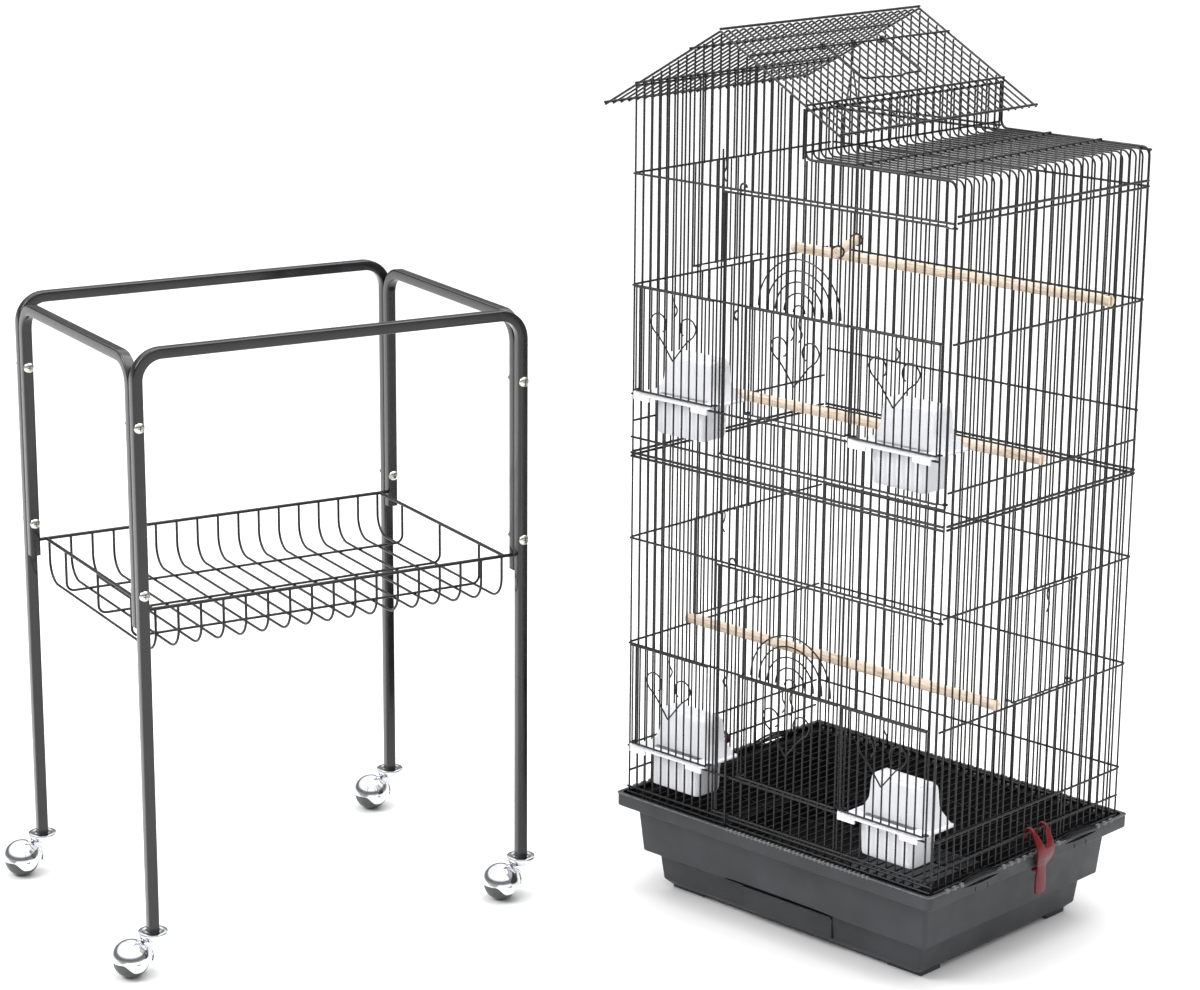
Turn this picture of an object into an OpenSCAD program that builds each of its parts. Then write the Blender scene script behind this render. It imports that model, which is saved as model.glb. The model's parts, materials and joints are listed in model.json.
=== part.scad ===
// Bird cage with its rolling stand.
// The two-tier wire cage stands on its plastic base beside a four-legged stand on ball casters.
// Millimetres, +Z up, floor at z = 0, door side facing -Y.

/* [Placing] */
// Turn of the stand about the vertical, against the cage
stand_turn = 74.3; // [0:0.1:180]
// Centre of the stand from the centre of the cage, along X
stand_dx = -515; // [-900:1:-450]
// Centre of the stand from the centre of the cage, along Y
stand_dy = -445; // [-700:1:0]

/* [Wire box] */
// Length of the wire box, on the door side
cage_l = 440; // [380:1:520]
// Depth of the wire box
cage_w = 335; // [280:1:420]
// Gaps between bars on the door side
gaps_l = 36; // [24:1:48]
// Gaps between bars on the ends
gaps_w = 27; // [18:1:36]
// Bar wire
bar_d = 2.2; // [1.6:0.1:3]
// Cross wire
cross_d = 2.6; // [2:0.1:4]
// Wire of the rings where the tiers meet
ring_d = 3; // [2.6:0.1:4]
// Height of one tier
tier_h = 413.6; // [380:0.1:450]
// Sill wire under the feeder doors of the upper tier
sill_z = 588; // [560:0.5:620]
// Head wire over the feeder doors of the upper tier
head_z = 711; // [690:0.5:740]
// Wire over the big door of the upper tier
lintel_z = 835; // [810:0.5:860]
// Flat top
deck_z = 876; // [850:0.5:900]

/* [Roof] */
// Ridge of the roof
ridge_z = 1003; // [950:0.5:1050]
// Where the roof ends and the flat top starts
step_x = 22; // [-60:1:120]
// How far the eaves stand past the walls
eave_out = 47; // [20:1:80]
// Rise of the slopes, over a run of 1
roof_rise = 0.56; // [0.3:0.01:1]

/* [Base] */
// Length over the rim
tray_l = 458; // [400:1:560]
// Depth over the rim
tray_w = 361; // [320:1:460]
// Top of the rim
rim_z = 118; // [90:1:140]
// Wall
tray_wall = 2.5; // [2:0.1:4]
// Width of the drawer front
drawer_l = 130; // [100:1:240]

/* [Doors] */
// Left edge of the big doors
door_x0 = -88; // [-140:1:-40]
// Height of a small sliding door
small_h = 119; // [90:1:140]
// Width of the small door in the middle
mid_door_w = 140; // [100:1:180]
// Width of a feeder door
feed_door_w = 113.5; // [90:1:140]
// Width of a nest door
nest_w = 108; // [80:1:140]

/* [Stand] */
// Length between the posts
stand_l = 453; // [400:1:520]
// Depth between the posts
stand_w = 337; // [280:1:420]
// Top of the long rails
stand_z = 689; // [600:1:800]
// Top of the short rails
end_z = 682; // [600:1:800]
// Square tube
tube = 12; // [10:0.5:20]
// Tube wall
tube_wall = 1; // [0.8:0.1:2]
// Bend of the tube, at its middle
bend_r = 28; // [20:1:50]
// Foot of the long legs
leg_z = 48; // [40:1:80]
// Foot of the short legs
short_leg_z = 388; // [300:1:450]
// Rim of the basket
basket_z = 405; // [350:1:450]
// Depth of the basket
basket_h = 49.5; // [20:1:80]

/* [Casters] */
// Ball
ball_r = 20; // [15:0.5:30]
// How far the ball trails behind its stem
trail = 26; // [15:1:40]

/* [Hidden] */
// Sides of a wire
ws = 8;
pitch_l = cage_l / gaps_l;
pitch_w = cage_w / gaps_w;
hl = cage_l / 2;
hw = cage_w / 2;
// Offset of a cross wire from the bars it is welded to
weld = (bar_d + cross_d) / 2 - 0.3;
weld_ring = (bar_d + ring_d) / 2 - 0.3;
// Plane of the sliding doors, outside the bars
slide_off = 5.5;
slide_d = 2;
bar_z0 = rim_z - 8;
hinge_x = hl;
low_ring_z = 516.6;
up_ring_z = 520.6;
door_z0 = 543;
door_z1 = lintel_z - 4;
ridge_x = (step_x - hl) / 2;
roof_run = (step_x + hl) / 2 + eave_out;
roof_ang = atan(roof_rise);
slope_len = roof_run / cos(roof_ang);
wall_z = ridge_z - roof_rise * (step_x - ridge_x);
mid_x = 20;
feed_l_x = bar_x(10) - feed_door_w / 2;
feed_r_x = hinge_x - 9 - feed_door_w / 2;
hand_wire_x = -57;
swing_turn = 25;
drawer_x = 3;
clip_z = 142.4;
clip_y = 12.4;
swing_z = 755;
// The frame's origin is the middle of the whole object's footprint
origin_x = -267.632;
origin_y = -287.86;

// ---------- wire ----------
module zbar(x, y, z0, z1, d = bar_d)
    translate([x, y, z0]) cylinder(h = z1 - z0, d = d, $fn = ws);

module xbar(x0, x1, y, z, d = cross_d)
    translate([x0, y, z]) rotate([0, 90, 0]) cylinder(h = x1 - x0, d = d, $fn = ws);

module ybar(x, y0, y1, z, d = cross_d)
    translate([x, y0, z]) rotate([-90, 0, 0]) cylinder(h = y1 - y0, d = d, $fn = ws);

function bar_x(i) = -hl + i * pitch_l;
function bar_y(j) = -hw + j * pitch_w;

// A flat wire along a line of points, drawn in the XY plane and t thick
function unit(v) = v / max(norm(v), 0.0001);
function along(p, i) = unit((i < len(p) - 1 ? unit(p[i + 1] - p[i]) : [0, 0]) + (i > 0 ? unit(p[i] - p[i - 1]) : [0, 0]));
function beside(p, r) = [for (i = [0 : len(p) - 1]) p[i] + r * [-along(p, i)[1], along(p, i)[0]]];
function back_to_front(p) = [for (i = [len(p) - 1 : -1 : 0]) p[i]];

module flat_wire(pts, d, t)
    linear_extrude(height = t, center = true)
        polygon(concat(beside(pts, d / 2), back_to_front(beside(pts, -d / 2))));

// The eye of a wire that is bent round a guide bar; its tail points to -Y
module guide_eye(reach)
    translate([0, 0, -1]) difference() {
        union() {
            rotate(180 / ws) cylinder(h = 2, r = 3.5, $fn = ws);
            translate([-1, -reach, 0]) cube([2, reach, 2]);
        }
        translate([0, 0, -1]) rotate(180 / ws) cylinder(h = 4, r = 2, $fn = ws);
    }

// Panels with openings, and the base, are made in lengths a hair apart, so that each is a plain slab or wall
slit = 0.06;

module cut_x(xs, ys)
    for (x = xs) translate([x - slit / 2, ys - 6, 0]) cube([slit, 12, 1100]);

module cut_y(xs, ys)
    for (y = ys) translate([xs - 6, y - slit / 2, 0]) cube([12, slit, 1100]);

// ---------- door side ----------
module front_cross(x0, x1, z, d = cross_d)
    xbar(x0, x1, -hw - (bar_d + d) / 2 + 0.3, z, d);

// Bars left of the big door, open where the feeder door slides
module feeder_column(dz, z0, z1) {
    for (i = [0 : 10])
        if (i == 0 || i == 10) zbar(bar_x(i), -hw, z0, z1);
        else {
            zbar(bar_x(i), -hw, z0, sill_z + dz + cross_d / 2);
            zbar(bar_x(i), -hw, head_z + dz - cross_d / 2, z1);
        }
    zbar(feed_l_x - feed_door_w / 2, -hw, sill_z + dz, head_z + dz);
    zbar(door_x0 - 4, -hw, z0, z1);
    front_cross(-hl - 1, door_x0 - 3, sill_z + dz);
    front_cross(-hl - 1, door_x0 - 3, head_z + dz);
}

module front_panel(dz, z0, z1, ring_low, ring_high) difference() {
    front_wires(dz, z0, z1, ring_low, ring_high);
    cut_x([feed_l_x - feed_door_w / 2 + 1.6, feed_l_x + feed_door_w / 2 - 1.6, door_x0 - 2.5], -hw);
}

module front_wires(dz, z0, z1, ring_low, ring_high) {
    feeder_column(dz, z0, z1);
    for (i = [11 : gaps_l]) {
        zbar(bar_x(i), -hw, z0, door_z0 + dz - 3.2);
        zbar(bar_x(i), -hw, lintel_z + dz - cross_d / 2, z1);
    }
    front_cross(-hl - 1, hl + 1, door_z0 + dz - 4.5);
    front_cross(-hl - 1, hl + 1, lintel_z + dz);
    front_cross(-hl - 1, hl + 1, ring_low, ring_low < up_ring_z ? cross_d : ring_d);
    front_cross(-hl - 1, hl + 1, ring_high, ring_d);
}

module lower_front_panel() color("#1c1c1e")
    front_panel(-tier_h, bar_z0, low_ring_z + ring_d / 2, 118, low_ring_z);

module upper_front_panel() color("#1c1c1e")
    front_panel(0, up_ring_z - ring_d / 2, deck_z, up_ring_z, deck_z - ring_d / 2);

// ---------- back ----------
module back_panel(dz, z0, z1, ring_low, ring_high) {
    for (i = [0 : gaps_l]) zbar(bar_x(i), hw, z0, z1);
    for (z = [sill_z, head_z, lintel_z]) xbar(-hl - 1, hl + 1, hw + weld, z + dz);
    xbar(-hl - 1, hl + 1, hw + weld_ring, ring_low, ring_d);
    xbar(-hl - 1, hl + 1, hw + weld_ring, ring_high, ring_d);
}

module lower_back_panel() color("#1c1c1e")
    back_panel(-tier_h, bar_z0, low_ring_z + ring_d / 2, 118, low_ring_z);

module upper_back_panel() color("#1c1c1e")
    back_panel(0, up_ring_z - ring_d / 2, deck_z, up_ring_z, deck_z - ring_d / 2);

// ---------- ends ----------
// side is -1 at the left and 1 at the right; nest_y is the middle of the nest door, if there is one
module end_panel(side, z0, z1, dz, levels, nest, nest_y) difference() {
    union() {
        end_wires(side, z0, z1, dz, levels, nest, nest_y);
        end_ring(side, z1 < 600 ? low_ring_z : up_ring_z);
        if (!nest) end_ring(side, deck_z - ring_d / 2);
    }
    if (nest) cut_y(side * hl, [nest_y - nest_w / 2 + 1.6, nest_y + nest_w / 2 - 1.6]);
}

module end_wires(side, z0, z1, dz, levels, nest, nest_y) {
    xs = side * hl;
    y0 = -hw + 1.6;
    g0 = nest_y - nest_w / 2;
    g1 = nest_y + nest_w / 2;
    for (j = [1 : gaps_w - 1])
        if (nest && bar_y(j) > g0 + 5 && bar_y(j) < g1 - 5) {
            zbar(xs, bar_y(j), z0, head_z + dz + cross_d / 2);
            zbar(xs, bar_y(j), lintel_z + dz - cross_d / 2, z1);
        }
        else if (!nest || abs(bar_y(j) - g0) > 5 && abs(bar_y(j) - g1) > 5)
            zbar(xs, bar_y(j), z0, z1);
    if (nest) {
        zbar(xs, g0, z0, z1);
        zbar(xs, g1, z0, z1);
    }
    for (z = levels) ybar(xs + side * weld, y0, -y0, z);
}

module end_ring(side, z, d = ring_d)
    ybar(side * (hl + (bar_d + d) / 2 - 0.3), -hw + 1.6, hw - 1.6, z, d);

module lower_left_panel() color("#1c1c1e") {
    end_panel(-1, bar_z0, low_ring_z + ring_d / 2, -tier_h,
        [118, clip_z, sill_z - tier_h, head_z - tier_h, lintel_z - tier_h], true, -2);
}

module lower_right_panel() color("#1c1c1e") {
    end_panel(1, bar_z0, low_ring_z + ring_d / 2, -tier_h,
        [118, clip_z, sill_z - tier_h, head_z - tier_h, lintel_z - tier_h], true, 8);
}

module upper_left_panel() color("#1c1c1e") {
    end_panel(-1, up_ring_z - ring_d / 2, roof_under(-hl) - 1.4, 0, [clip_z + tier_h, head_z, lintel_z, wall_z - 8], true, -10);
}

module upper_right_panel() color("#1c1c1e") {
    end_panel(1, up_ring_z - ring_d / 2, deck_z, 0, [clip_z + tier_h, head_z, lintel_z], false, 0);
}

// ---------- top ----------
// Underside of the roof's slope wires over x
function roof_under(x) = ridge_z - 4.6 - roof_rise * abs(x - ridge_x);

module gable(ys) {
    for (i = [0 : 19])
        zbar(bar_x(i), ys, lintel_z + (i == 0 ? 42 : 42), roof_under(bar_x(i)) - 1);
    zbar(step_x - 3, ys, lintel_z + 42, roof_under(step_x) - 1);
    xbar(-hl - 1, step_x - 2, ys + sign(ys) * weld, deck_z + 3.6);
}

module front_gable() color("#1c1c1e") gable(-hw);

module back_gable() color("#1c1c1e") gable(hw);

// One slope, drawn flat from the ridge along +X, z = 0 in the plane of its bars
module slope_bars(x0)
    for (j = [0 : gaps_w])
        xbar(x0, slope_len, bar_y(j), 0, j == 0 || j == gaps_w ? cross_d : bar_d);

module slope_at(side)
    translate([ridge_x, 0, ridge_z - 3.4]) mirror([side < 0 ? 1 : 0, 0, 0]) rotate([0, roof_ang, 0]) children();

module roof_right_slope() color("#1c1c1e") slope_at(1) {
    slope_bars(0.4);
    ybar(0.7, -hw - 1, hw + 1, weld_ring, ring_d);
    ybar((hand_wire_x - ridge_x) / cos(roof_ang), -hw - 1, hw + 1, weld);
    ybar((step_x - ridge_x) / cos(roof_ang), -hw - 1, hw + 1, weld);
    ybar(slope_len - 1, -hw - 1, hw + 1, weld_ring, ring_d);
}

module roof_left_slope() color("#1c1c1e") slope_at(-1) {
    slope_bars(3);
    ybar(6, -hw - 1, hw + 1, weld);
    ybar((ridge_x - hand_wire_x + 84) / cos(roof_ang), -hw - 1, hw + 1, weld);
    ybar((step_x - ridge_x) / cos(roof_ang), -hw - 1, hw + 1, weld);
    ybar(slope_len - 1, -hw - 1, hw + 1, weld_ring, ring_d);
}

module top_deck() color("#1c1c1e") {
    for (j = [1 : gaps_w - 1]) xbar(step_x + 1.1, hl, bar_y(j), deck_z + bar_d / 2 + 0.1, bar_d);
    for (s = [-1, 1]) xbar(step_x + 0.4, hl, s * hw, deck_z + bar_d / 2 + 0.1, bar_d);
    for (x = [0.34, 0.68])
        ybar(step_x + x * (hl - step_x), -hw - 1, hw + 1, deck_z + bar_d / 2 + 0.1 + weld);
}

module step_wall() color("#1c1c1e") {
    for (j = [1 : gaps_w - 1]) zbar(step_x, bar_y(j), deck_z - 1, roof_under(step_x) - 1);
    ybar(step_x - weld, -hw + 1.6, hw - 1.6, deck_z + 4);
    ybar(step_x - weld, -hw + 1.6, hw - 1.6, wall_z - 8);
}

// ---------- big doors ----------
module hinge_posts() color("#1c1c1e")
    for (dz = [0, -tier_h])
        translate([hinge_x, -hw, door_z0 + dz - 3.2])
            cylinder(h = lintel_z - cross_d / 2 - door_z0 + 3.2, d = 3, $fn = 32);

module hinge_loop()
    translate([0, 0, -1.3]) difference() {
        union() {
            cylinder(h = 2.6, r = 3.5, $fn = 32);
            translate([-9, -3.4, 0]) cube([9, 2.4, 2.6]);
        }
        translate([0, 0, -1]) cylinder(h = 5, r = 1.58, $fn = 32);
    }

// Half-round wires over the middle door
module sunrise(dz)
    for (r = [8, 21, 33, 45, 57])
        translate([mid_x, -hw - 1.6, head_z + 3.5 + dz]) rotate([90, 0, 0])
            linear_extrude(height = 1.6, center = true) difference() {
                circle(r = r + 0.9, $fn = 48);
                circle(r = r - 0.9, $fn = 48);
                translate([-80, -160]) square([160, 160]);
            }

module main_door(dz) difference() {
    door_wires(dz);
    cut_x([mid_x - mid_door_w / 2 + 1.6, mid_x + mid_door_w / 2 - 1.6,
        feed_r_x - feed_door_w / 2 + 1.6, feed_r_x + feed_door_w / 2 - 1.6], -hw);
}

module door_wires(dz) {
    x1 = hinge_x - 9;
    z0 = door_z0 + dz;
    z1 = door_z1 + dz;
    mid0 = mid_x - mid_door_w / 2;
    mid1 = mid_x + mid_door_w / 2;
    feed0 = feed_r_x - feed_door_w / 2;
    for (i = [11 : 34])
        if (bar_x(i) < mid0 - 4) zbar(bar_x(i), -hw, z0, z1);
        else {
            zbar(bar_x(i), -hw, z0, sill_z + dz + cross_d / 2);
            zbar(bar_x(i), -hw, head_z + dz - cross_d / 2, z1);
        }
    for (x = [door_x0, mid0, mid1, feed0, x1]) zbar(x, -hw, z0, z1);
    for (z = [z0, sill_z + dz, head_z + dz, z1]) front_cross(door_x0 - 1.2, hinge_x - 8, z);
    for (z = [z0 + 1, z1 - 1]) translate([hinge_x, -hw, z]) hinge_loop();
    sunrise(dz);
}

module lower_main_door() color("#1c1c1e") main_door(-tier_h);

module upper_main_door() color("#1c1c1e") main_door(0);

// A rod that slides on the big door, with a kink for the finger and a hooked top
module latch_rod(dz)
    translate([door_x0 + 26, -hw - 5.2, dz]) rotate([90, 0, 0])
        flat_wire([[0, dz < 0 ? 525 : 502], [0, 690], [-6, 700], [0, 712], [0, 839], [5, 843], [9, 839]], 2.4, 2.4);

module lower_latch_rod() color("#1c1c1e") translate([-6, 0, 0]) latch_rod(-tier_h);

module upper_latch_rod() color("#1c1c1e") latch_rod(0);

// ---------- small sliding doors ----------
// Two open scrolls that meet in a point
function arc(cx, cy, r, a0, a1, n) = [for (k = [0 : n]) [cx + r * cos(a0 + (a1 - a0) * k / n), cy + r * sin(a0 + (a1 - a0) * k / n)]];

module heart() {
    for (s = [-1, 1])
        mirror([s < 0 ? 1 : 0, 0])
            flat_wire(concat([[0, 0]], arc(22, 39, 11.5, -20, 190, 9), [[13.5, 33]]), 1.8, 1.6);
}

module squiggle()
    flat_wire([[0, 0], [3.5, 5], [4.5, 10], [1, 15], [0, 20], [1, 26]], 1.8, 1.6);

// w wide, its foot at z = 0, hung outside the bars; eyes at the foot run on the guide bars
module sliding_door(w, n, wavy) {
    for (k = [0 : n]) {
        x = -w / 2 + k * w / n;
        if (!(wavy && abs(x) < w / n)) zbar(x, 0, 0, small_h, slide_d);
        else zbar(x, 0, 0, small_h - 38, slide_d);
    }
    for (z = [1.2, small_h - 1.2]) xbar(-w / 2 - 1, w / 2 + 1, -1.7, z, 2.2);
    translate([0, -1.5, 42]) rotate([90, 0, 0]) heart();
}

module front_slider(x, dz, w, n, squiggles) {
    translate([x, -hw - slide_off, sill_z + dz + 5.5]) {
        sliding_door(w, n, false);
        for (sx = squiggles)
            translate([sx, -1.5, small_h - 28]) rotate([90, 0, 0]) squiggle();
    }
    for (s = [-1, 1])
        translate([x + s * w / 2, -hw, sill_z + dz + 6.5]) guide_eye(slide_off + 1.6);
}

module lower_mid_door() color("#1c1c1e") front_slider(mid_x, -tier_h, mid_door_w, 12, [-6, 5]);

module upper_mid_door() color("#1c1c1e") front_slider(mid_x, 0, mid_door_w, 12, [-6, 5]);

module lower_left_feed_door() color("#1c1c1e") front_slider(feed_l_x, -tier_h, feed_door_w, 10, [1]);

module lower_right_feed_door() color("#1c1c1e") front_slider(feed_r_x, -tier_h, feed_door_w, 10, [1]);

module upper_left_feed_door() color("#1c1c1e") front_slider(feed_l_x, 0, feed_door_w, 10, [1]);

module upper_right_feed_door() color("#1c1c1e") front_slider(feed_r_x, 0, feed_door_w, 10, [1]);

module nest_door(side, y, dz)
    translate([side * (hl + slide_off), y, head_z + dz + 5]) rotate(side * 90) {
        for (k = [0 : 9]) zbar(-nest_w / 2 + k * nest_w / 9, 0, 0, small_h, slide_d);
        for (z = [1.2, small_h - 1.2]) xbar(-nest_w / 2 - 1, nest_w / 2 + 1, -1.7, z, 2.2);
        for (s = [-1, 1]) translate([s * nest_w / 2, slide_off, 2]) guide_eye(slide_off + 1.6);
        translate([0, -1.5, small_h - 28]) rotate([90, 0, 0]) squiggle();
    }

module lower_left_nest_door() color("#1c1c1e") nest_door(-1, -2, -tier_h);

module lower_right_nest_door() color("#1c1c1e") nest_door(1, 8, -tier_h);

module upper_left_nest_door() color("#1c1c1e") nest_door(-1, -10, 0);

// ---------- feeder cups ----------
// A trough that hangs on the sill wire, with a wide rim and a hood that shades its outer half
module cup(x, dz)
    translate([x, -hw, sill_z + dz]) {
        // lip outside the bars
        translate([-60, -6.4, 0]) cube([110, 2.9, 4.6]);
        translate([-60, -6.4, -5]) cube([24, 2.9, 5.2]);
        translate([26, -6.4, -5]) cube([24, 2.9, 5.2]);
        // rim
        difference() {
            translate([-52, -6.4, 2]) cube([107.2, 60.2, 2.6]);
            translate([-34, 6, 1]) cube([68, 36, 5]);
        }
        // trough
        difference() {
            hull() {
                translate([-37.5, 4, 1.4]) cube([75, 41, 0.6]);
                translate([-35.5, 5, -40]) cube([71, 39, 0.6]);
            }
            hull() {
                translate([-35.5, 6, 1.6]) cube([71, 37, 1]);
                translate([-33.5, 7, -38]) cube([67, 35, 1]);
            }
        }
        // hood over the inner half of the trough
        difference() {
            union() {
                hull() {
                    translate([-46, 14, 4.6]) cube([95, 39, 0.4]);
                    translate([-38, 17, 21]) cube([76, 30, 0.4]);
                }
                hull() {
                    translate([-38, 17, 21]) cube([76, 30, 0.4]);
                    translate([-37, 18.5, 44]) cube([73, 27.5, 0.4]);
                    translate([-33, 22, 48.4]) cube([65, 20, 0.6]);
                }
            }
            hull() {
                translate([-44, 16, 4]) cube([91, 50, 0.4]);
                translate([-36, 19, 21.6]) cube([72, 40, 0.4]);
            }
            hull() {
                translate([-36, 19, 20]) cube([72, 40, 0.4]);
                translate([-35, 20.5, 43]) cube([69, 40, 0.4]);
                translate([-31, 24, 46.4]) cube([61, 30, 0.6]);
            }
        }
    }

module lower_left_cup() color("#f4f3f0") cup(feed_l_x, -tier_h);

module lower_right_cup() color("#f4f3f0") cup(feed_r_x, -tier_h);

module upper_left_cup() color("#f4f3f0") cup(feed_l_x, 0);

module upper_right_cup() color("#f4f3f0") cup(feed_r_x, 0);

// ---------- base ----------
module slab(inset, z, h, r)
    translate([0, 0, z]) linear_extrude(height = h) {
        square([tray_l - 2 * inset - 2 * r, tray_w - 2 * inset], center = true);
        square([tray_l - 2 * inset, tray_w - 2 * inset - 2 * r], center = true);
        for (sx = [-1, 1], sy = [-1, 1])
            translate([sx * (tray_l / 2 - inset - r), sy * (tray_w / 2 - inset - r)]) circle(r = r, $fn = 12);
    }

module band(i0, z0, i1, z1, r)
    hull() {
        slab(i0, z0, 0.2, r);
        slab(i1, z1 - 0.2, 0.2, r);
    }

module lens(w, h, t)
    linear_extrude(height = t) intersection() {
        translate([0, (w * w / 4 - h * h / 4) / h]) circle(r = (w * w + h * h) / (4 * h), $fn = 180);
        translate([0, -(w * w / 4 - h * h / 4) / h]) circle(r = (w * w + h * h) / (4 * h), $fn = 180);
    }

module base_tray() color("#4a4b50") {
    t = tray_wall;
    difference() {
        union() {
            slab(0, 102, rim_z - 102, 7);
            band(17.5, 98, 10, 102.2, 5);
            band(22, 47, 17.5, 98.2, 5);
            band(36, 40, 22, 47.2, 5);
            band(39, 12, 36, 40.2, 5);
            band(46, 5, 39, 12.2, 5);
        }
        band(22 + t, 49, 17.5, 130, 4);
        band(39.2 + t, 11, 36 + t, 49.2, 4);
        band(46 + t, 7.5, 40.5 + t, 12, 4);
        // the upper walls stand a hair above the floor of the step
        translate([-300, -300, 49 - slit]) cube([600, 600, slit]);
        // ledge that the bars and the floor grate stand on
        slab(4, rim_z - 8, 20, 5);
        // drawer opening and the finger slot over it
        translate([-drawer_l / 2 + drawer_x, -tray_w / 2, 13]) cube([drawer_l, 80, 28]);
        translate([-2, -tray_w / 2 + 50, 45]) rotate([90, 0, 0]) lens(156, 4.6, 45);
        // lens-shaped cuts in the end rims
        for (s = [-1, 1], y = [-90, 90])
            translate([s * (tray_l / 2 - 2), y, rim_z - 9]) rotate(90) lens(62, 9, 12);
    }
    // corner feet
    for (sx = [-1, 1], sy = [-1, 1])
        translate([sx * (tray_l / 2 - 46 - 24), sy * (tray_w / 2 - 50 - 17), 0])
            translate([-24, -17, 0]) cube([48, 34, 5]);
}

module tray_grate() color("#1c1c1e") {
    gx = hl - 6;
    gy = hw - 5;
    z = bar_z0 + 1.5;
    for (s = [-1, 1]) xbar(-gx, gx, s * gy, z, 3);
    for (s = [-1, 1]) ybar(s * gx, -gy, gy, z, 3);
    for (i = [-17 : 17]) translate([i * pitch_l, -gy - 1, z + 2.2])
        rotate([-90, 0, 0]) cylinder(h = 2 * gy + 2, d = 2, $fn = 4);
    for (y = [-0.25, 0.25]) xbar(-gx, gx, y * 2 * gy, z + 0.3, 2.4);
}

module floor_drawer() color("#4a4b50") translate([drawer_x, 0, 0]) {
    w = drawer_l - 1.2;
    translate([-w / 2, -145, 13.6]) cube([w, 3.5, 26.8]);
    translate([-w / 2, -147.5, 36.8]) cube([w, 2.6, 3.6]);
    difference() {
        translate([-w / 2 + 1, -142, 13.6]) cube([w - 2, 266, 16]);
        translate([-w / 2 + 3, -140.5, 15.6]) cube([w - 6, 262.5, 30]);
    }
}

// ---------- inside ----------
module dowel(j, z)
    translate([-hl - 3, bar_y(j), z]) rotate([0, 90, 0]) difference() {
        cylinder(h = cage_l + 6, d = 12, $fn = 48);
        for (x = [0, cage_l + 6]) translate([-10, -1.5, x - 6]) cube([20, 3, 12]);
    }

module perches() color("#dcbf96") {
    dowel(22, head_z + cross_d / 2 + 6.1);
    dowel(13, clip_z + tier_h + cross_d / 2 + 6.1);
    dowel(8, head_z - tier_h + cross_d / 2 + 6.1);
}

function hand_wire_z() = ridge_z - 3.4 - roof_rise * (hand_wire_x - ridge_x) + weld * cos(roof_ang);

module swing_at()
    translate([hand_wire_x + weld * sin(roof_ang), 0, 0]) children();

module swing_wires() color("#1c1c1e") {
    hz = hand_wire_z();
    swing_at() {
        translate([0, 1.1, hz]) rotate([90, 0, 0]) difference() {
            union() {
                cylinder(h = 2.2, r = 4.1, $fn = 32);
                translate([-1.1, -24, 0]) cube([2.2, 21, 2.2]);
            }
            translate([0, 0, -1]) cylinder(h = 4, r = 1.9, $fn = 32);
        }
        rotate(swing_turn - 90) translate([0, 0, hz - 24]) {
            rotate([90, 0, 0])
                flat_wire([[-40, swing_z - hz + 24 + 8], [-36, -60], [0, 0], [36, -60], [40, swing_z - hz + 24 + 8]], 2.2, 2.2);
            for (s = [-1, 1])
                translate([s * 40 - 1.1, 0, swing_z - hz + 24]) rotate([0, 90, 0]) difference() {
                    cylinder(h = 2.2, r = 7.6, $fn = 32);
                    translate([0, 0, -1]) cylinder(h = 5, r = 5.6, $fn = 32);
                }
        }
    }
}

module swing_perch() color("#5a3a28")
    swing_at() translate([0, 0, swing_z]) rotate(swing_turn - 90) translate([-49, 0, 0])
        rotate([0, 90, 0]) cylinder(h = 98, r = 5.5, $fn = 32);

module carry_handle() color("#1c1c1e") {
    u0 = (hand_wire_x - ridge_x) / cos(roof_ang);
    slope_at(1) {
        for (s = [-1, 1]) translate([u0, s * 49.6 + 1.5, weld]) rotate([90, 0, 0]) difference() {
            cylinder(h = 3, r = 4.2, $fn = 32);
            translate([0, 0, -1]) cylinder(h = 5, r = 1.6, $fn = 32);
        }
        for (s = [-1, 1]) hull() {
            translate([u0 + 3.6, s * 49.6 - 1.5, weld + 1.2]) cube([1, 3, 3]);
            translate([u0 + 60, s * 49.6 - 1.5, weld + 1.2]) cube([2, 3, 3]);
        }
        translate([u0 + 62, 0, weld + 2.7])
            flat_wire([[0, -49.6], [2.5, -44], [2.5, -20], [5, -12], [5, 12], [2.5, 20], [2.5, 44], [0, 49.6]], 3.4, 3);
    }
}

// Clip that turns on the low end wire and hooks under the rim
module clip(side)
    translate([side * (hl + weld), side > 0 ? clip_y : -clip_y, clip_z]) rotate(side > 0 ? 0 : 180) {
        for (y = [-12.4, 12.4]) translate([0, y + 2.6, 0]) rotate([90, 0, 0]) difference() {
            union() {
                cylinder(h = 5.2, r = 4.4, $fn = 32);
                linear_extrude(height = 5.2)
                    polygon([[1.6, 0], [4.4, 0], [5.6, -9], [11.2, -20], [11.2, -27], [8.4, -27], [8.4, -20], [2.6, -9]]);
            }
            translate([0, 0, -1]) cylinder(h = 10, r = 1.65, $fn = 32);
            translate([-6, -6, -1]) cube([6.2, 6, 10]);
        }
        translate([8.4, 0, 0]) rotate([90, 0, 90]) linear_extrude(height = 2.8)
            polygon([[-15, -26], [15, -26], [15, -34], [11, -41], [8, -46], [8.5, -70], [7, -72], [-7, -72], [-8.5, -70],
                [-8, -46], [-11, -41], [-15, -34]]);
        translate([2.8, -5, -45.6]) cube([6, 10, 3.4]);
    }

module left_clip() color("#7d1f28") clip(-1);

module right_clip() color("#7d1f28") clip(1);

// ---------- stand ----------
module at_stand() translate([stand_dx, stand_dy, 0]) rotate(stand_turn) children();

// A square with its corners cut
module cut_square(a, c)
    polygon([[a, a - c], [a - c, a], [c - a, a], [-a, a - c], [-a, c - a], [c - a, -a], [a - c, -a], [a, c - a]]);

module tube_section() difference() {
    cut_square(tube / 2, 1.6);
    cut_square(tube / 2 - tube_wall, 0.8);
}

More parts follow.
